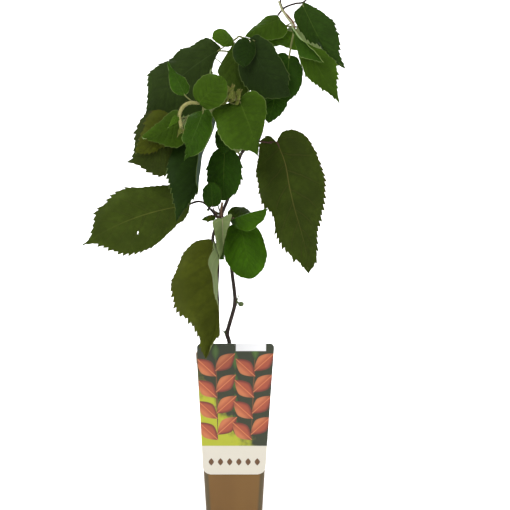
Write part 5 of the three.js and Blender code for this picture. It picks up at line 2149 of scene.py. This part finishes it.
@dataclass
class Foliage:
    """The masses of leaves, with their twigs, petioles and the down of the young growth."""

    limbs: Limbs
    coats: Coats
    shoot_hairs: int = 2200
    leaf_hairs: int = 340
    hair_radius: float = 0.09
    random: Random = field(default_factory=lambda: np.random.default_rng(9))

    def build(self) -> None:
        """Models each spray's leaves and its twigs, then the down, and dresses them."""
        for name, masses in (
            ("low", [LOW, MIDDLE, RIGHT]), ("left", [SHOOT_TIP, LEFT]),
            ("upper", [UPPER_LEFT, CENTRE, UPPER, LOW_CENTRE]), ("top", [TOP, RIGHT_TOP, LEADER]),
            ("back", [rule.grown(self.limbs) for rule in BACK]),
        ):
            nodes = [mass.node for mass in masses]
            blades = [one.blade(self.coats) for mass in masses for one in mass.leaves]
            dressed(joined("leaves_" + name, blades), "foliage", nodes, angle=50)
            twigs = [part for mass in masses for part in self.twigs(mass)]
            dressed(joined("twigs_" + name, twigs), "young_stem", nodes)
        self.stand("shoot_down", self.shoot_down(), Skin.DOWN)
        self.stand("leaf_down", self.leaf_down(), Skin.LEAF_DOWN)

    def twigs(self, mass: Mass) -> list[Piece]:
        """Makes a mass's stem, its petioles and its second stalk.

        Args:
            mass: the mass.

        Returns:
            The parts, each in its skin.
        """
        stem = mass.stem(self.limbs)
        parts = [stem.tube("twig", 10, max(10, round(stem.line.length / 2)))]
        parts += [one.petiole() for one in mass.leaves]
        if mass.second:
            parts.append(Limb(seen_all(mass.second), (1.25, 1.1)).tube("stalk", 10, 30))
        for part, skin in zip(parts, [*mass.skins, *[Skin.YOUNG] * len(parts)]):
            part.data.materials.append(self.coats[skin])
        return parts

    def shoot_down(self) -> list[Array]:
        """Spreads hairs over the curled shoot tip.

        Returns:
            A matrix for each hair.
        """
        stem, random = SHOOT_TIP.stem(self.limbs), self.random
        frames = []
        for _ in range(self.shoot_hairs):
            share = 0.15 + 0.85 * random.random() ** 0.7
            middle, ahead = stem.line.at(share), stem.line.tangent(share)
            out = random.normal(size=3)
            out = unit(out - ahead * (out @ ahead))
            root = middle + out * float(stem.radius(share)) * 0.9
            lean = out + ahead * random.uniform(-0.2, 0.7)
            frames.append(self.hair(root, lean, random.uniform(0.5, 1.5)))
        return frames

    def leaf_down(self) -> list[Array]:
        """Spreads hairs over both sides of the unfurling leaves.

        Returns:
            A matrix for each hair.
        """
        frames, random = [], self.random
        for one in (one for one in SHOOT_TIP.leaves if one.tone is Tone.DOWNY):
            across = random.uniform(-1, 1, self.leaf_hairs)
            r = random.uniform(0.02, 1, self.leaf_hairs)
            for root, normal in zip(one.surface(across, r), one.normals(across, r)):
                out = normal * random.choice([-1, 1])
                lean = out + one.along * 0.8 + random.normal(size=3) * 0.3
                frames.append(self.hair(root, lean, random.uniform(0.7, 1.8)))
        return frames

    def hair(self, root: Array, lean: Array, length: float) -> Array:
        """Gives the matrix of one hair, from its root in millimetres."""
        return frame_along(root * MM, lean, (*[self.hair_radius * MM] * 2, length * MM))

    def stand(self, name: str, frames: Sequence[Array], skin: Skin) -> None:
        """Stands a thin three-sided hair at each frame and dresses them as one piece.

        Args:
            name: the piece's name.
            frames: a matrix for each hair.
            skin: their skin.
        """
        hair = added(bpy.ops.mesh.primitive_cone_add, "hair", vertices=3, radius1=1, depth=1)
        move_vertices(hair, vertex_places(hair) + np.array([0, 0, 0.5]))
        piece = scattered(name, hair, frames)
        dressed(piece, "young_stem", [SHOOT_TIP.node], self.coats[skin], angle=0)


# The studio


@dataclass
class Studio:
    """The pale sweep, the soft lights and the camera. Its sizes are in metres."""

    reach: float = 6.0
    wall: float = 5.0
    bend: float = 1.8
    world: float = 0.6

    def build(self) -> None:
        """Sets up the studio."""
        self.sweep()
        self.lamp("key", (-1.5, -2.4, 2.6), 2.0, 78)
        self.lamp("fill", (2.3, -2.4, 1.0), 2.4, 22)
        self.lamp("rim", (0.8, 2.2, 2.4), 1.6, 24)
        self.lamp("wash", (0.0, 2.8, 4.0), 3.0, 330, (0.0, 6.0, 0.6))
        world = bpy.data.worlds.new("studio")
        world.use_nodes = True
        sky = world.node_tree.nodes["Background"].inputs
        sky["Color"].default_value, sky["Strength"].default_value = (1, 1, 1, 1), self.world
        bpy.context.scene.world = world
        bpy.context.scene.view_settings.view_transform = "Standard"
        self.camera()

    def sweep(self) -> None:
        """Makes the floor, which curves up into a wall behind the plant."""
        floor = added(bpy.ops.mesh.primitive_plane_add, "floor", size=2 * self.reach)
        rise = {"value": (0, 0, self.wall)}
        for work in (
            lambda: bpy.ops.mesh.extrude_region_move(TRANSFORM_OT_translate=rise),
            lambda: bpy.ops.mesh.bevel(offset=self.bend, segments=16, affect="EDGES"),
        ):
            picked(floor, self.at_back, work)
        smoothed(floor, 60)
        floor.data.materials.append(PlainFinish("studio_floor", (0.9, 0.9, 0.9, 1), 0.9).material())
        floor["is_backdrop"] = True

    def at_back(self, ends: Array) -> bool:
        """Says whether an edge is the floor's far edge."""
        return bool(np.all(np.abs(ends[:, 1:] - (self.reach, 0)) < 1e-4))

    def lamp(
        self, name: str, place: Place, size: float, power: float, target: Place = (0.02, 0.0, 0.4)
    ) -> None:
        """Adds one soft square light.

        Args:
            name: its name.
            place: where it stands.
            size: its side.
            power: its power in watts.
            target: where it looks.
        """
        data = bpy.data.lights.new(name, "AREA")
        data.size, data.energy = size, power
        lamp = linked(name, data)
        lamp.location = place
        aim = unit(np.array(target) - np.array(place))
        lamp.rotation_mode = "QUATERNION"
        lamp.rotation_quaternion = Vector(aim.tolist()).to_track_quat("-Z", "Y")

    def camera(self) -> None:
        """Adds the camera: level, straight at the card's side, at the photograph's distance."""
        data = bpy.data.cameras.new("camera")
        data.sensor_width, data.lens = SENSOR, SENSOR * EYE_DISTANCE / FRAME_WIDTH
        camera = linked("camera", data)
        camera.location = (EYE_X * MM, -EYE_DISTANCE * MM, EYE_Z * MM)
        camera.rotation_euler = (math.pi / 2, 0, 0)
        bpy.context.scene.camera = camera


def main() -> None:
    """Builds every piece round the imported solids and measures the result."""
    logging.basicConfig(level=logging.INFO, format="%(message)s")
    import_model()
    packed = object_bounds()
    limbs, coats = lay_out(), all_coats()
    for part in (Pot(), Compost(), Card(), Stems(limbs, coats), Foliage(limbs, coats), Studio()):
        part.build()
    dressed_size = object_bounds()
    for name, (low, high) in (("packed", packed), ("dressed", dressed_size)):
        corners = [tuple(round(v, 4) for v in corner) for corner in (low, high)]
        log.info("%s from %s to %s", name, *corners)


if __name__ == "__main__":
    main()
